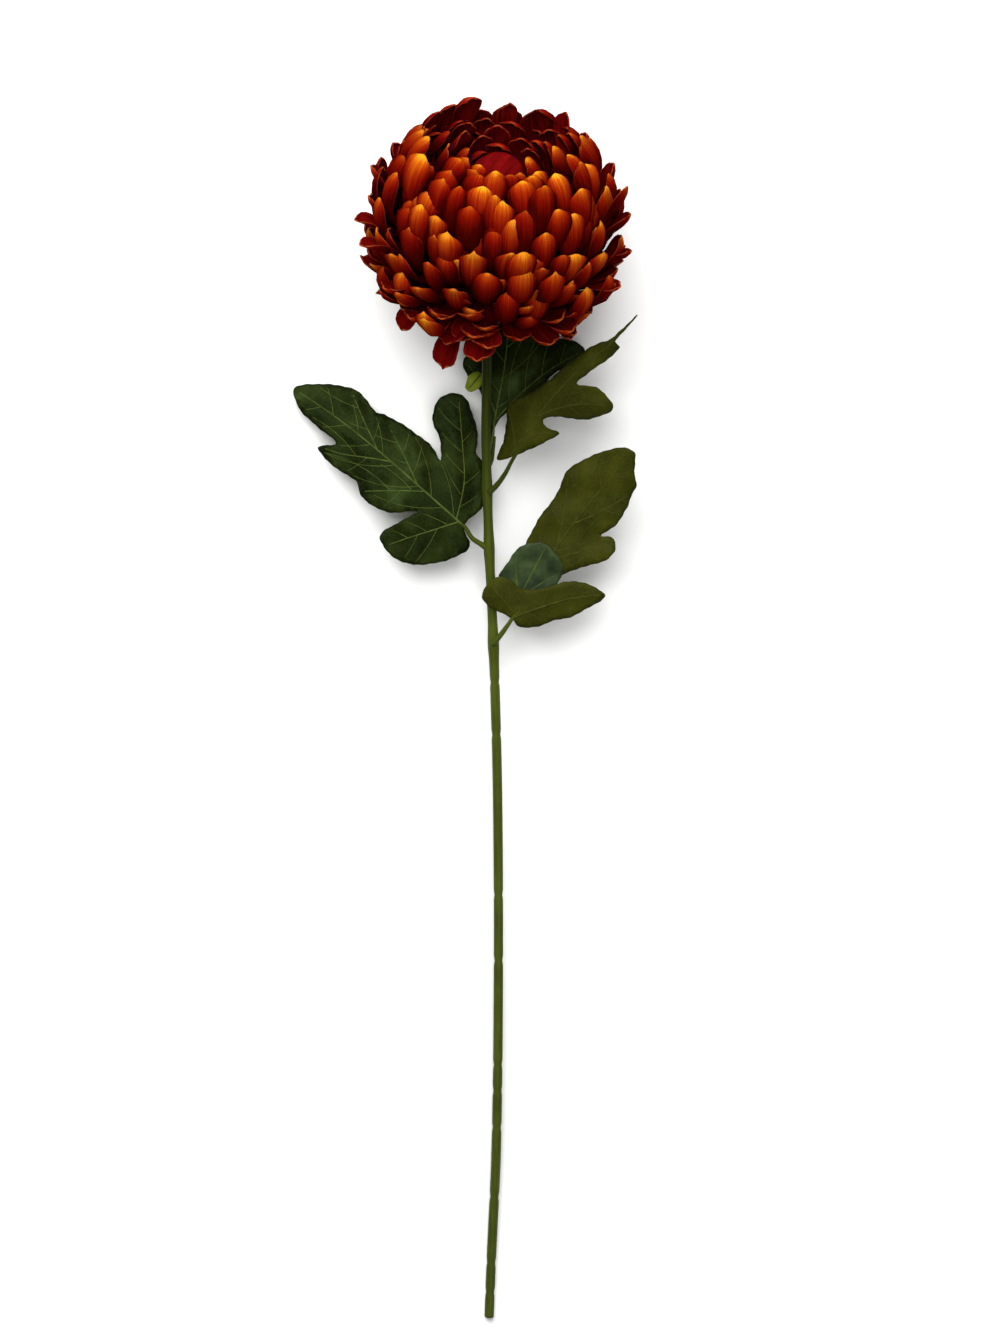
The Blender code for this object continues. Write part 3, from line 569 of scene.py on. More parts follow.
def inner_bends():
    """The shorter petals of the crown's inner wall."""
    for index in range(INNER_PETALS):
        share = (index + 0.5) / INNER_PETALS
        azimuth = (OUTER_PETALS + index) * GOLDEN_ANGLE
        azimuth += radians(spread(AZIMUTH_SPREAD))
        root = (stepped(INNER_RADIUS, share) * MM, INNER_HEIGHT * MM)
        start = stepped(INNER_START, share) + spread(LIFT_SPREAD)
        finish = stepped(INNER_FINISH, share) + spread(CURL_SPREAD)
        length = stepped(INNER_LENGTH, share) * MM * draw.uniform(*LENGTH_DRAWS)
        length *= 1.0 - FRONT_SHORTER * max(0.0, -sin(azimuth))
        half_width = PETAL_HALF_WIDTH * INNER_WIDTH * draw.uniform(*WIDTH_DRAWS)
        yield Bend(azimuth, root, radians(start), radians(finish), length, half_width,
                   radians(spread(TWIST_SPREAD)))


def placed_bends(rows):
    """Petals that are set one by one, because they stand off from the globe or lap over its neck."""
    for azimuth, polar, start, finish, length, half_width in rows:
        yield Bend(radians(azimuth), root_at(radians(polar)), radians(start),
                   radians(finish), length * MM, half_width * MM)


def filler_bends():
    """Shorter petals between those of the globe, which close the gaps behind them."""
    low, high = (cos(radians(angle)) for angle in FILLER_ROOTS)
    for index in range(FILLER_PETALS):
        share = (index + 0.5) / FILLER_PETALS
        rise = min(1.0, FILLER_RIPENING * share)
        polar = acos(low + (high - low) * share)
        turn, lift, curl = (spread(reach, whim) for reach in FILLER_SPREADS[:3])
        azimuth = (index + 0.5) * GOLDEN_ANGLE + radians(turn)
        start = polar - radians(FILLER_LIFT + lift)
        finish = polar + radians(stepped(FILLER_CURL, rise) + curl)
        length = stepped(FILLER_LENGTH, rise) * MM
        length *= whim.uniform(*FILLER_LENGTH_DRAWS)
        yield Bend(azimuth, root_at(polar), start, finish, length, PETAL_HALF_WIDTH * FILLER_WIDTH,
                   radians(spread(FILLER_SPREADS[3], whim)))


def painted_light_warmth(bend):
    """Painted light: how orange a petal is, most on the side facing the light and high up."""
    side = clamped(LIT_SIDE[0] - LIT_SIDE[1] * bend.out.y)
    rise = clamped(bend.root_height / DOME_RADIUS + LIT_RISE)
    return side * (LOW_ROW_PAINTED_LIGHT + (1.0 - LOW_ROW_PAINTED_LIGHT) * rise)


def pressed(point):
    """Petals under the head lie flat on the surface: what would go below it is squeezed above it."""
    if point.z < PRESS_HEIGHT:
        room = PRESS_HEIGHT - PRESS_FLOOR
        point.z = PRESS_FLOOR + room * exp((point.z - PRESS_HEIGHT) / room)
    return point


petal_master = sheet_master("petal_master", PETAL_COLUMNS, len(PETAL_ROWS) - 1)


def petal_sheet(warmth):
    """A copy of the sheet with its own random tint, and its orange share, partly painted light."""
    petal = put_in_scene("petal", petal_master.data.copy())
    count = len(petal.data.vertices)
    for label, value in (("tint", whim.random()), ("warmth", warmth)):
        petal.data.attributes.new(label, "FLOAT", "POINT").data.foreach_set("value", [value] * count)
    return petal


def length_share(corner):
    return PETAL_ROWS[round((0.5 + 0.5 * corner.co.y) * (len(PETAL_ROWS) - 1))]


def bent_petal(bend, warmth):
    """A spoon-shaped petal along its arc, with draws of its own for its cup, tip and lean."""
    petal = petal_sheet(warmth)
    flute = whim.uniform(*FLUTE_DRAWS)
    lop = spread(LOP_SPREAD, whim)
    pointed = whim.choice(POINT_CHOICES)
    hook = PETAL_HOOK * whim.choice(HOOK_CHOICES)
    skew = spread(SKEW_SPREAD, whim)
    ruffle_phase = whim.uniform(0.0, tau)
    for corner in petal.data.vertices:
        across, share = corner.co.x, length_share(corner)
        tip = max(0.0, (share - TIP_START) / (1.0 - TIP_START))
        reach = share - TIP_ROUND * tip ** 3 * across * across
        reach += pointed * tip * (bell(across, POINT_WIDTH) - 1.0)
        point, outer, side = bend.middle(bend.length * reach)
        half = bend.half_width * eased(PETAL_OUTLINE, share)
        cup = bend.half_width * eased(PETAL_CUP, share) * (1.0 + flute) * (1.0 + lop * across)
        ruffle = RUFFLE_DEPTH * sin(RUFFLE_TURN * share + ruffle_phase) * across * share
        depth = cup * across * across + hook * tip * tip + bend.half_width * ruffle
        point = point + side * (half * across + skew * bend.half_width * share) - outer * depth
        corner.co = pressed(head_place @ point)
    return petal


def wrapped_petal(index):
    """A broad petal of the heart, wrapped over a dome and over the petals before it."""
    petal = petal_sheet(0.0)
    out, side = level_pair(index * GOLDEN_ANGLE)
    radius, height = stepped(HEART_RADIUS, index), stepped(HEART_HEIGHT, index)
    for corner in petal.data.vertices:
        share = length_share(corner)
        rise = radians(HEART_SWEEP[0] + (HEART_SWEEP[1] - HEART_SWEEP[0]) * share)
        turn = radians(HEART_WRAP) * corner.co.x * (0.5 + 0.5 * eased(PETAL_OUTLINE, share))
        ahead = out * cos(rise) + UP * sin(rise)
        spot = ahead * cos(turn) + side * sin(turn)
        point = Vector((spot.x * radius, spot.y * radius, spot.z * height + HEART_FOOT)) * MM
        corner.co = head_place @ point
    return petal


# Petal, outer face: soft matte plant tissue. Dark red at the root turns through orange to yellow at
# the tip, in fine lengthwise streaks about half a millimetre apart. The near black red at the root is
# partly painted shade, both side edges are darkened as painted shade, and petals facing away from
# the light are painted crimson with an orange tip, as painted shade.
petal_outer, add = new_finish("petal outer face", 0.6, 0.0)
petal_map = add("UVMap", uv_map="UVMap")
map_parts = add("SeparateXYZ", {0: petal_map})
tint = add("Attribute", attribute_name="tint").outputs["Fac"]
warmth = add("Attribute", attribute_name="warmth").outputs["Fac"]
streak_place = add("Mapping", {0: petal_map, "Scale": (22.0, 1.4, 1.0)})
tint_shift = add("Math", {0: tint, 1: 40.0}, operation="MULTIPLY")
streak_seed = add("CombineXYZ", {"Z": tint_shift})
streak_spot = add("VectorMath", {0: streak_place, 1: streak_seed}, operation="ADD")
streaks = add("TexNoise", {0: streak_spot, "Scale": 1.0, "Detail": 3.0})
streak_push = add("MapRange", {0: streaks, "From Min": 0.3, "From Max": 0.7,
                                          "To Min": -0.08, "To Max": 0.08})
tint_push = add("MapRange", {0: tint, "To Min": -0.22, "To Max": 0.08})
# Painted shade: each petal darkens towards both side edges, where its curled sides would be in shade.
from_middle = add("Math", {0: map_parts.outputs["X"], 1: 0.5}, operation="SUBTRACT")
edge_shade_share = add("Math", {0: from_middle, 1: from_middle}, operation="MULTIPLY")
painted_edge_shade = add("Math", {0: edge_shade_share, 1: -1.3, 2: streak_push}, operation="MULTIPLY_ADD")
pushes = add("Math", {0: painted_edge_shade, 1: tint_push}, operation="ADD")
ripeness_and_shade = add("Math", {0: map_parts.outputs["Y"], 1: pushes}, operation="ADD")
# The near black red at the root of each ramp is partly painted shade.
orange = add("ValToRGB", {0: ripeness_and_shade}, (
    (0.24, "#3C0301"), (0.46, "#680A02"), (0.62, "#862204"), (0.78, "#AE4E09"), (0.93, "#E4981C")))
crimson = add("ValToRGB", {0: ripeness_and_shade}, (
    (0.22, "#300202"), (0.50, "#520403"), (0.78, "#741006"), (1.0, "#96300C")))
add("Mix", {0: warmth, 6: crimson, 7: orange}, into="Base Color", data_type="RGBA")
add("Bump", {"Strength": 0.25, "Distance": 0.3 * MM, "Height": streaks}, into="Normal")


def streaked_finish(name, stretch, detail, stops):
    """Petal tissue whose colour runs through its stops in lengthwise streaks, and those streaks."""
    finish, add = new_finish(name, 0.5, 0.0)
    petal_map = add("UVMap", uv_map="UVMap")
    streak_place = add("Mapping", {0: petal_map, "Scale": (*stretch, 1.0)})
    streaks = add("TexNoise", {0: streak_place, "Scale": 1.0, "Detail": detail})
    add("ValToRGB", {0: streaks}, stops, into="Base Color")
    return finish, add, streaks


# Petal, inner face: the same tissue, deep crimson. It gives the eye the dark hollows of the crown.
petal_inner, add, streaks = streaked_finish("petal inner face", (18.0, 1.2), 3.0, (
    (0.30, "#3A0303"), (0.55, "#5C0605"), (0.80, "#7C1009")))
add("Bump", {"Strength": 0.2, "Distance": 0.3 * MM, "Height": streaks}, into="Normal")

# Heart petal: young tissue that is still wrapped, smooth and satin, one even crimson with a few dark
# streaks. It gives the eye the dark red bud at the bottom of the crown.
heart_skin = streaked_finish("heart petal", (9.0, 0.8), 2.0, (
    (0.30, "#480407"), (0.60, "#680809"), (0.85, "#86120E")))[0]

# Petal rim: the thin edge where the tissue is palest. It gives the eye a light line round a petal.
petal_rim, add = new_finish("petal rim", 0.5, 0.05)
petal_map = add("UVMap", uv_map="UVMap")
warmth = add("Attribute", attribute_name="warmth").outputs["Fac"]
map_length = add("SeparateXYZ", {0: petal_map}).outputs["Y"]
cool_rim = add("ValToRGB", {0: map_length}, (
    (0.30, "#300303"), (0.80, "#5C0E08"), (0.98, "#84341A")))
warm_rim = add("ValToRGB", {0: map_length}, (
    (0.30, "#400503"), (0.75, "#7A280A"), (0.98, "#B86A18")))
# The rim mixes from crimson to orange by the petal's ripeness and painted light.
add("Mix", {0: warmth, 6: cool_rim, 7: warm_rim}, into="Base Color", data_type="RGBA")

# Each group has a ripeness that all its petals share, and a share of painted light that turns its
# petals more orange where they face the light. The groups are drawn in this order, because every
# petal takes draws of its own.
PETAL_GROUPS = (
    ("globe_petals", outer_bends, 0.0, 1.0),
    ("filler_petals", filler_bends, 0.0, 0.7),
    ("loose_petals", partial(placed_bends, LOOSE_PETALS), 0.0, 0.4),
    ("lap_petals", partial(placed_bends, LAP_PETALS), 0.5, 0.0),
    ("neck_petals", partial(placed_bends, NECK_PETALS), 0.12, 0.0),
    ("crown_petals", inner_bends, 0.0, 0.9),
    ("heart_petals", None, 0.0, 0.0),
)
for name, bends, even_warmth, light_share in PETAL_GROUPS:
    if bends:
        petals = [bent_petal(bend, even_warmth + light_share * painted_light_warmth(bend))
                  for bend in list(bends())]
        finishes = (petal_outer, petal_inner, petal_rim)
    else:
        petals = [wrapped_petal(index) for index in range(HEART_PETALS)]
        finishes = (heart_skin, heart_skin, petal_rim)
    whole = joined(name, petals)
    give_wall(whole, PETAL_WALL, finishes, rim=2)
    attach(whole, "root")
    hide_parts("bloom")
bpy.data.objects.remove(petal_master)


# Leaves
# Lobed green leaves on short stalks, thin and a little leathery, dark above and olive below, with a
# pale midrib, a main vein to each lobe and finer branches. Each blade is cut to its outline, bent to
# its heights and quilted between its veins, and the veins stand a little proud on both faces.
BLADE_WALL = 0.5 * MM
MARGIN_STEP = 1.8
BLADE_STEP = 2.4
BLADE_CLEAR = 0.55 * BLADE_STEP
INSIDE_ONLY = 1
SAME_POINT = 0.0001
WAVE_DEPTH = 0.35
WAVE_LENGTHS = (17.0, 6.3)
RIPPLE = (0.21, 0.16)
RIPPLE_FREE = 15.0
KEEL_ROUND = 3.0
QUILT_HEIGHT = 0.8
QUILT_REACH = 3.5
STALK_RADII = (1.75, 0.7)
MIDRIB_RADII = (0.78, 0.38)
MAIN_VEIN_RADII = (0.56, 0.36)
BRANCH_RADII = (0.25, 0.15)
BRANCH_GAP = 16.0
BRANCH_GAP_OF_OTHERS = 0.72
BRANCH_ANGLE = radians(48.0)
BRANCH_BOW = 0.022
BRANCH_STEPS = 30
SHORTEST_BRANCH = 6
BRANCH_LIFT = 0.26
BRANCH_LIFT_UNDER = 0.1
CLEAR_OF_MARGIN = 1.8
CLEAR_OF_VEIN = 2.0
VEIN_STEP = 1.5
# Outlines and veins are in mm along and across a blade's heading from its base. A form is the rise
# along it, the sag at its end, the roll, the keel, where the keel bows to, and the ripple.
LEFT_BLADE = dict(reach=126, form=(0.1, 27, 0.03, 0.12, 0, 1.2),
    outline=(
        (0, 0), (-8, 5), (-10, 9), (-4, 22), (6, 33), (18, 39), (34, 35), (31, 22), (26, 10.5),
        (41, 22), (58, 23), (64, 18.5), (78, 20), (94, 17), (87, 9), (103, 8), (114, 7), (126, 0),
        (123, -6), (112, -15), (99, -22), (90, -22), (80, -19.5), (76, -21.5), (60, -24), (42, -24),
        (34, -21), (42, -30), (53, -37), (57, -47), (53, -56), (46, -58), (33, -51), (25, -44),
        (20.5, -36.5), (16, -36), (8, -28), (-1, -16),
    ),
    veins=(
        ((0, 0), (30, -1.5), (62, -3), (95, -3), (122, -1)), ((4, 0), (12, 12), (20, 24), (27, 35)),
        ((30, -1.5), (40, 6), (50, 14), (57, 20)), ((56, -2.7), (68, 4), (80, 11), (90, 15)),
        ((6, -0.5), (16, -20), (32, -38), (47, -54)), ((36, -2), (52, -10), (70, -18)),
        ((66, -3), (82, -11), (97, -19)),
    ),
)
UNDER_BLOOM_BLADE = dict(reach=68, form=(-0.04, 6.5, 0.02, 0.06, 0, 0.8),
    outline=(
        (-6, 1), (3, 0), (12, 0), (17.5, -3), (22, -8), (29, -17), (36, -25), (42, -26), (49, -32),
        (55, -41), (62, -44), (67, -36), (66, -26), (65, -17), (70, -8), (72, 1), (68, 10),
        (59, 14), (52, 20), (45, 24), (37, 20), (30, 12), (20, 8), (8, 6), (-2, 5),
    ),
    veins=(
        ((-4, 1), (20, 1), (45, 0), (69, 1)), ((14, 1), (30, -10), (46, -24), (60, -41)),
        ((18, 1), (31, 9), (44, 21)),
    ),
)
YELLOW_GREEN_TIP = dict(base=(16.6, 151.7, 22.8), reach=68, form=(-0.04, 6.5, 0.02, 0.06, 0, 0.8),
    look="yellow_green",
    outline=(
        (28.4, 18.4), (30.6, 20.6), (34.7, 20.3), (39.1, 18.2), (40.8, 13.6), (37.2, 10.1),
        (32.9, 12), (29.4, 15),
    ),
    veins=(
        ((39, 13), (34, 16), (30, 18.5)),
    ),
)
UPPER_RIGHT_BLADE = dict(reach=107, form=(0.3, 3, 0, 0.45, 6, 1), fall=0.55, turned_over=True,
    outline=(
        (-2, 1), (-8, 6), (3, 11), (13, 17), (19, 22), (30, 18), (41, 14), (62, 10.5), (73, 7.5),
        (81, 4.2), (85, 1.2), (95, 0), (105.5, -1.6), (95, -1.8), (86, -1.5), (85.5, -5.5),
        (77, -5), (61, -1), (54, 0), (60, -12), (57, -25), (45, -20), (37, -11), (32, -3), (26, 1),
        (24, -3), (26, -11), (16, -7.5), (8, -4),
    ),
    veins=(
        ((-2, 2), (14, 4), (34, 5), (60, 4), (84, -0.4), (104, -1.6)),
        ((24, 5), (36, -1), (47, -10), (56, -22)), ((4, 3), (11, 11), (18, 20)),
        ((8, 3.5), (17, -2), (24, -8)),
    ),
)
LOWER_RIGHT_BLADE = dict(reach=113, form=(0.02, -22, 0, 0.1, 0, 1), turned_over=True,
    outline=(
        (-5, 0), (3, 7), (16, 13), (35, 19), (50, 21.5), (70, 22), (80, 25), (91, 22), (103, 15),
        (111, 8), (113, 0), (108, -4), (103, -7), (99, -12), (92, -13), (86, -15), (75, -16),
        (64, -13), (67, -18), (63, -24), (56, -24), (47, -18), (34, -9), (19, -6), (5, -5),
    ),
    veins=(
        ((-2, 0), (30, 3), (60, 4), (88, 3), (111, 2)), ((34, 3), (46, -6), (55, -14), (60, -21)),
        ((44, 3.6), (60, 11), (79, 22)), ((62, 4), (80, 10), (98, 15)),
        ((60, 4), (74, -4), (90, -11)),
    ),
)
FOLDED_LOBE = dict(turn=13.7, reach=42, form=(0.1, -4, 0, 0.12, 0, 0.6), look="painted_sheen",
    outline=(
        (-4, 1), (2, 12), (14, 17), (25, 15.5), (33, 13.5), (38, 10), (42, 1), (40, -7), (35, -14),
        (28, -16), (18, -13), (5, -6),
    ),
    veins=(
        ((-2, 1), (14, 1), (28, 0), (40, -1)), ((8, 1), (17, 7), (28, 12)),
        ((8, 1), (18, -5), (29, -13)),
    ),
)
CROSSING_LOBE = dict(base=(27.5, 52.7, 29.5), turn=-39.9, reach=55,
    form=(0.12, 2, 0.3, 0.04, 4, 0.8), turned_over=True,
    outline=(
        (0, -1), (-6, 5), (-12, 10), (-14, 16), (-9, 22), (-3, 25), (4, 21), (10, 14.5), (18, 12.5),
        (33, 13), (42, 11.5), (49, 7), (55, 0), (45, -4), (34, -7), (23, -7), (12, -8), (3, -6),
    ),
    veins=(
        ((1, 0), (16, 2), (34, 3), (52, 1)), ((3, 0.5), (-2, 10), (-7, 20)),
    ),
)
LEAVES = {
    "leaf_left": dict(base=(0, 105.3, 21.3), heading=141.3, blades=(LEFT_BLADE,),
        stalk=(
            (14, 92, 22.9), (9, 95.5, 22.9), (4.5, 98.6, 22.3), (0, 105.3, 21.3), (-9, 112.5, 21.7),
        ),
    ),
    "leaf_under_bloom": dict(base=(16.6, 151.7, 21.6), heading=81.7,
        blades=(UNDER_BLOOM_BLADE, YELLOW_GREEN_TIP),
        stalk=(
            (13, 138, 23.6), (15.5, 143, 21.3), (16.6, 149, 21.1), (17.6, 157, 20.7),
        ),
    ),
    "leaf_upper_right": dict(base=(29.2, 145.4, 36.2), heading=49.6, blades=(UPPER_RIGHT_BLADE,),
        stalk=(
            (14.5, 124.5, 27.2), (19.5, 129.5, 30.2), (24, 136, 33.2), (28, 143.5, 35.7),
            (36, 155, 38.2),
        ),
    ),
    "leaf_lower_right": dict(base=(29.8, 56.1, 29.5), heading=53.2,
        blades=(LOWER_RIGHT_BLADE, FOLDED_LOBE, CROSSING_LOBE),
        stalk=(
            (16.5, 37.5, 22), (21, 43, 25), (25, 48.5, 27.5), (29, 54, 29.5), (36, 60, 31),
        ),
    ),
}


def smooth_margin(corners):
    """A closed curve through a leaf's outline points."""
    count = len(corners)
    margin = []
    for index in range(count):
        before, first, second, after = (Vector(corners[(index + k) % count]) for k in (-1, 0, 1, 2))
        lead, middle, rest = (sqrt(max((b - a).length, 0.1)) for a, b in
                              ((before, first), (first, second), (second, after)))
        slope_in = ((first - before) / lead - (second - before) / (lead + middle)
                    + (second - first) / middle) * middle
        slope_out = ((second - first) / middle - (after - first) / (middle + rest)
                     + (after - second) / rest) * middle
        steps = max(1, round((second - first).length / MARGIN_STEP))
        margin += [curved(first, second, slope_in, slope_out, k / steps) for k in range(steps)]
    return margin


def waved(margin):
    """The margin with shallow, uneven waves."""
    waves = []
    run = 0.0
    for index, corner in enumerate(margin):
        before, after = margin[index - 1], margin[(index + 1) % len(margin)]
        run += (corner - before).length
        ahead = (after - before).normalized()
        out = Vector((ahead.y, -ahead.x))
        wave = sum(sin(tau * run / length) for length in WAVE_LENGTHS)
        waves.append(corner + out * 0.5 * WAVE_DEPTH * wave)
    return waves


def is_inside(point, margin):
    crossings = 0
    for first, second in zip(margin, margin[1:] + margin[:1]):
        if (first.y > point.y) != (second.y > point.y):
            level = first.x + (point.y - first.y) * (second.x - first.x) / (second.y - first.y)
            crossings += level > point.x
    return crossings % 2 == 1


def gap_to(points):
    """What measures how far a flat point is from the nearest of these."""
    found = KDTree(len(points))
    for index, point in enumerate(points):
        found.insert((point[0], point[1], 0.0), index)
    found.balance()
    return lambda point: found.find((point[0], point[1], 0.0))[2]


def fine_line(knots):
    """A smooth line through a vein's points, with a point about every step."""
    points = [Vector(knot) for knot in knots]
    fine = []
    for index in range(len(points) - 1):
        before, after = points[max(index - 1, 0)], points[min(index + 2, len(points) - 1)]
        first, second = points[index], points[index + 1]
        steps = max(1, round((second - first).length / VEIN_STEP))
        fine += [curved(first, second, (second - before) * 0.5, (after - first) * 0.5, k / steps)
                 for k in range(steps)]
    return fine + [points[-1]]


def branch_veins(mains, margin):
    """Side veins that leave each main vein by turns left and right and stop short of the margin."""
    edge_gap = gap_to(margin)
    branches = []
    for number, line in enumerate(mains):
        others = [p for k, other in enumerate(mains) if k != number for p in other]
        other_gap = gap_to(others) if others else None
        gap = BRANCH_GAP if number == 0 else BRANCH_GAP * BRANCH_GAP_OF_OTHERS
        run, side = 0.0, 1.0
        for index in range(1, len(line) - 2):
            run += (line[index] - line[index - 1]).length
            if run < gap * 0.5:
                continue
            run = 0.0
            side = -side
            ahead = (line[index + 1] - line[index - 1]).normalized()
            point = line[index].copy()
            vein = [point.copy()]
            for step in range(BRANCH_STEPS):
                turn = side * (BRANCH_ANGLE - BRANCH_BOW * step)
                heading = Vector((ahead.x * cos(turn) - ahead.y * sin(turn),
                                  ahead.x * sin(turn) + ahead.y * cos(turn)))
                point = point + heading * VEIN_STEP
                if not is_inside(point, margin) or edge_gap(point) < CLEAR_OF_MARGIN:
                    break
                if other_gap and step > 1 and other_gap(point) < CLEAR_OF_VEIN:
                    break
                vein.append(point.copy())
            if len(vein) > SHORTEST_BRANCH:
                branches.append(vein)
    return branches


def blade_height(blade, along, across):
    """The height in mm of a blade above its base, at a distance along and across its midrib."""
    rise, sag, roll, keel, keel_at, ripple = blade["form"]
    reach = blade["reach"]
    offset = across - keel_at * sin(pi * clamped(along / reach))
    ridge = hypot(offset, KEEL_ROUND) - KEEL_ROUND
    wave = ripple * sin(along * RIPPLE[0] + across * RIPPLE[1])
    wave *= min(1.0, abs(offset) / RIPPLE_FREE)
    fall = blade.get("fall", 0.0) * max(offset, 0.0)
    return rise * along - sag * (along / reach) ** 2 + roll * across - keel * ridge + wave - fall


def tapered(points, radii):
    """A line for a round bar, with its radius at each point from its thick end to its thin one."""
    (thick, thin), last = radii, len(points) - 1
    return points, [(thick + (thin - thick) * k / last) * MM for k in range(last + 1)]


def tubes(name, lines):
    """Tapered round bars along lines of points and radii, with closed ends."""
    rod = added(name, bpy.ops.curve.primitive_nurbs_path_add)
    rod.data.splines.clear()
    rod.data.bevel_depth = 1.0
    rod.data.bevel_resolution = 1
    rod.data.use_fill_caps = True
    for points, radii in lines:
        spline = rod.data.splines.new("POLY")
        spline.points.add(len(points) - 1)
        for knot, point, radius in zip(spline.points, points, radii):
            knot.co = (*point, 1.0)
            knot.radius = radius
    bpy.ops.object.convert(target="MESH")
    rod = bpy.context.object
    close_skin(rod)
    return rod


def blade_sheet(name, margin, placed):
    """A flat net of triangles inside a margin, with each point put in its place."""
    edge_gap = gap_to(margin)
    points = list(margin)
    low, high = (Vector([pick(p[k] for p in margin) for k in (0, 1)]) for pick in (min, max))
    rise = BLADE_STEP * sqrt(0.75)
    for row in range(ceil((high.y - low.y) / rise) + 1):
        for column in range(ceil((high.x - low.x) / BLADE_STEP) + 1):
            point = low + Vector(((column + 0.5 * (row % 2)) * BLADE_STEP, row * rise))
            if is_inside(point, margin) and edge_gap(point) > BLADE_CLEAR:
                points.append(point)
    ring = [(k, (k + 1) % len(margin)) for k in range(len(margin))]
    found = delaunay_2d_cdt(points, ring, [], INSIDE_ONLY, SAME_POINT)
    sheet = bpy.data.meshes.new(name)
    sheet.from_pydata([placed(p) for p in found[0]], [], found[2])
    return put_in_scene(name, sheet)


def blade_pieces(name, blade, leaf):
    """A leaf blade and its veins, in their places."""
    ahead, left = level_pair(radians(leaf["heading"] + blade.get("turn", 0.0)))
    base = Vector(blade.get("base", leaf["base"]))
    margin = waved(smooth_margin(blade["outline"]))
    mains = [fine_line(line) for line in blade["veins"]]
    branches = [] if blade.get("look") else branch_veins(mains, margin)
    vein_gap = gap_to([point for line in mains + branches for point in line])
    turned_over = blade.get("turned_over", False)

    def placed(spot):
        quilt = QUILT_HEIGHT * (1.0 - bell(vein_gap(spot), QUILT_REACH))
        lift = blade_height(blade, spot.x, spot.y) + (-quilt if turned_over else quilt)
        return (base + ahead * spot.x + left * spot.y + UP * lift) * MM

    piece = blade_sheet(name, margin, placed)
    upper = leaf_looks[blade.get("look", "leathery")]
    give_wall(piece, BLADE_WALL, (leaf_under, upper) if turned_over else (upper, leaf_under))
    lines = [tapered([placed(p) for p in line], MIDRIB_RADII if line is mains[0] else MAIN_VEIN_RADII)
             for line in mains]
    lift = UP * ((BRANCH_LIFT_UNDER if turned_over else BRANCH_LIFT) * MM)
    lines += [tapered([placed(p) + lift for p in line], BRANCH_RADII) for line in branches]
    veins = tubes(name + "_veins", lines)
    veins.data.materials.append(vein_olive if turned_over else vein_pale)
    return [piece, veins]


NET_CELLS = 420.0
NET_SHARE = 0.12


def netted_finish(name, roughness, gloss, mottle, stops, net_reach, net_colour, relief, pucker):
    """Leaf tissue in mottled greens under a net of veins about 2 mm wide, raised and puckered."""
    finish, add = new_finish(name, roughness, *gloss)
    place = add("TexCoord").outputs["Object"]
    blotch = add("TexNoise", {0: place, "Scale": mottle[0], "Detail": mottle[1]})
    colour = add("ValToRGB", {0: blotch}, stops)
    cells = add("TexVoronoi", {0: place, "Scale": NET_CELLS}, feature="DISTANCE_TO_EDGE")
    net = add("MapRange", {0: cells, "From Max": net_reach, "To Min": NET_SHARE, "To Max": 0})
    add("Mix", {0: net, 6: colour, 7: linear(net_colour)}, into="Base Color", data_type="RGBA")
    raised = {"Strength": relief[0], "Distance": relief[1] * MM, "Height": cells}
    if pucker:
        strength, depth = pucker
        raised["Normal"] = add("Bump", {"Strength": strength, "Distance": depth * MM,
                                        "Height": blotch})
    add("Bump", raised, into="Normal")
    return finish


# Leaf, upper face: leathery green tissue with a thin waxy skin, puckered between its veins. It gives
# the eye a nearly black green with a soft green sheen, partly its own gloss and partly painted sheen
# in the lighter blotches of its mottle, about 22 mm across.
leaf_looks = {"leathery": netted_finish(
    "leaf upper face", 0.4, (0.12, "#9AC070"), (45.0, 4.0),
    # The lighter stops of this mottle are painted sheen.
    ((0.36, "#090D03"), (0.50, "#101504"), (0.60, "#1A2008"), (0.74, "#2E3A1C")),
    0.12, "#3C4A1A", relief=(0.25, 0.3), pucker=(0.7, 2.0))}

# Leaf, underside: the same tissue without the wax. It gives the eye a dull olive with a paler net.
leaf_under = netted_finish(
    "leaf underside", 0.6, (0.05,), (60.0, 5.0),
    ((0.3, "#222402"), (0.55, "#2E3004"), (0.8, "#3C3E09")),
    0.10, "#55581A", relief=(0.3, 0.4), pucker=None)

# Leaf, other upper faces: the folded lobe is painted a bluish green as painted sheen, and a small
# lobe tip is a bright yellow green.
for look, stops in (
    # Painted sheen: the bluish green of the folded lobe.
    ("painted_sheen", ((0.35, "#1C2614"), (0.55, "#2B391C"), (0.75, "#3E4E2C"))),
    ("yellow_green", ((0.3, "#5A6614"), (0.55, "#76821C"), (0.8, "#8E9A28"))),
):
    leaf_looks[look] = mottled_finish("leaf upper face, " + look, 0.5, 0.1, 110.0, 5.0, stops)[0]

# Leaf veins: firm pale tissue, and little paler than the dull blade where a leaf shows its underside.
# They give the eye the thin light lines of the midrib and its branches.
vein_pale = mottled_finish("leaf vein", 0.5, 0.05, 200.0, 2.0, (
    (0.3, "#343F14"), (0.7, "#4C5A26")))[0]
vein_olive = mottled_finish("underside vein", 0.6, 0.05, 200.0, 2.0, (
    (0.3, "#2E320A"), (0.7, "#3E4212")))[0]

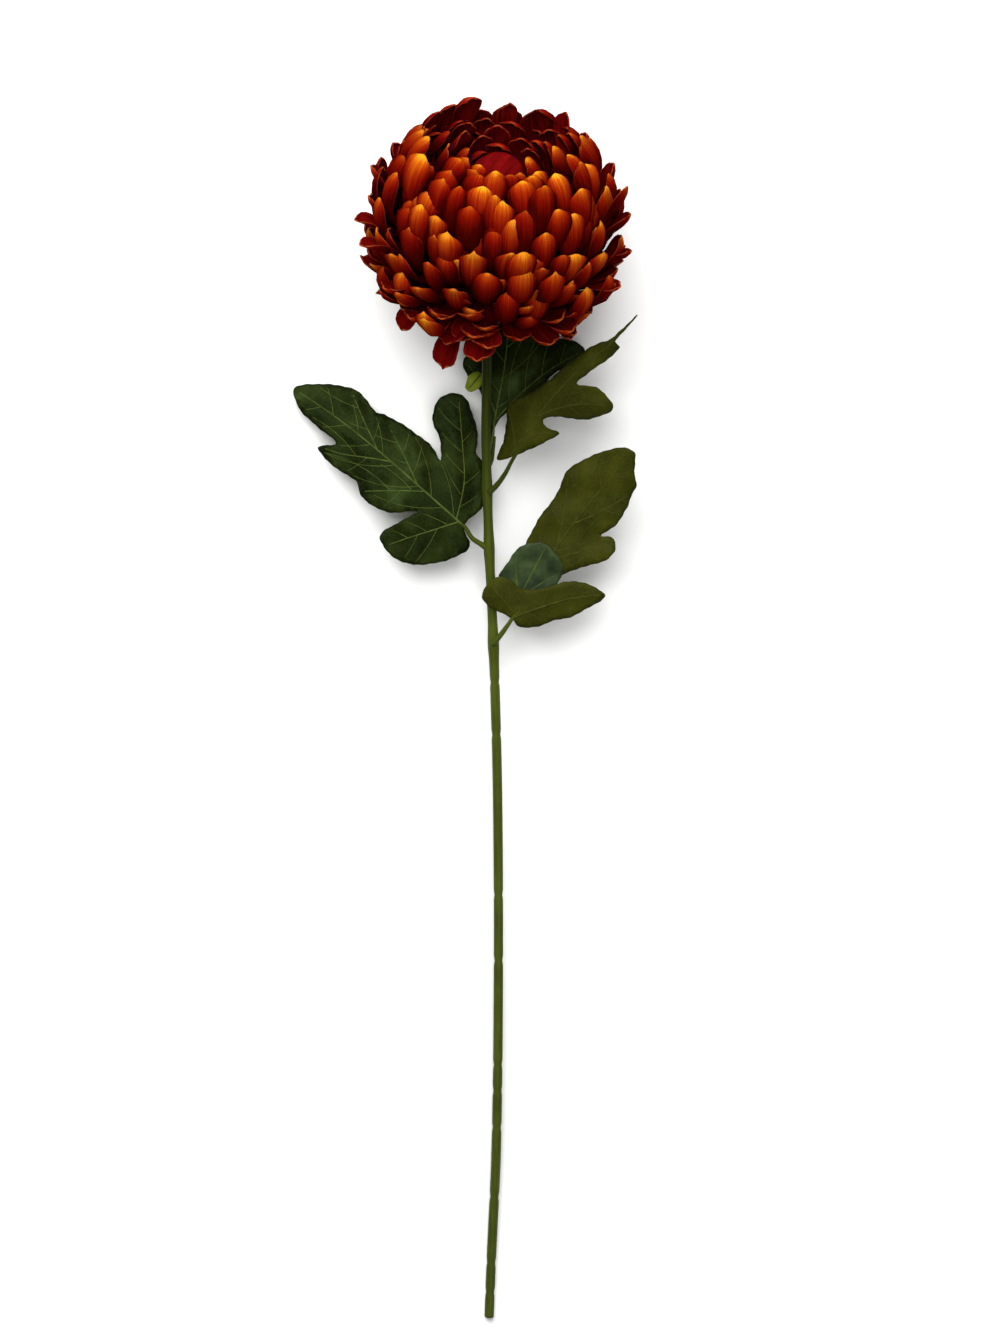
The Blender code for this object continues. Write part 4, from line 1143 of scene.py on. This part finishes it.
for name, leaf in LEAVES.items():
    stalk = tubes(name + "_stalk", [tapered([p * MM for p in fine_line(leaf["stalk"])], STALK_RADII)])
    stalk.data.materials.append(stem_skin)
    pieces = []
    for index, blade in enumerate(leaf["blades"]):
        pieces += blade_pieces(f"{name}_{index}", blade, leaf)
    whole = joined("dressed_" + name, pieces + [stalk])
    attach(whole, "root")
    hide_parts(name)


# Floor, light and camera
# A plain pale table under soft studio light, seen from straight above as in the photograph, with the
# head of the flower at the top of the picture.
floor = added("pale_floor", bpy.ops.mesh.primitive_plane_add, size=8.0, location=(0.0, 0.0, 0.0))
floor.data.materials.append(new_finish("pale floor paint", 0.9, colour="#F4F4F2")[0])

ROOM_LIGHT = 0.12
world = bpy.data.worlds.new("studio")
bpy.context.scene.world = world
world.use_nodes = True
sky = world.node_tree.nodes["Background"].inputs
sky["Color"].default_value = linear("#FFFFFF")
sky["Strength"].default_value = ROOM_LIGHT


def soft_lamp(name, place, aim, size, power):
    """A round soft lamp at a place, turned to its aim, with its width and its watts."""
    lamp = bpy.data.lights.new(name, "AREA")
    lamp.shape = "DISK"
    lamp.size = size
    lamp.energy = power
    lamp_object = put_in_scene(name, lamp)
    lamp_object.location = place
    lamp_object.rotation_euler = (Vector(aim) - Vector(place)).to_track_quat("-Z", "Y").to_euler()


soft_lamp("key_lamp", (-0.4, 1.5, 2.1), (0.0, 0.1, 0.05), 2.8, 118.0)
soft_lamp("fill_lamp", (0.5, -0.4, 3.0), (0.0, 0.0, 0.0), 2.4, 42.0)

CAMERA_HEIGHT = 5.0
FRAME_MIDDLE = (0.0206, 0.0249)
FRAME_LEVEL = 0.03
FRAME_HEIGHT = 0.763
SENSOR = 36.0
camera_data = bpy.data.cameras.new("camera")
camera = put_in_scene("camera", camera_data)
camera.location = (*FRAME_MIDDLE, CAMERA_HEIGHT + FRAME_LEVEL)
camera_data.sensor_width = SENSOR
camera_data.lens = SENSOR * CAMERA_HEIGHT / FRAME_HEIGHT
camera_data.clip_end = 50.0
bpy.context.scene.camera = camera
bpy.context.scene.view_settings.view_transform = "Standard"
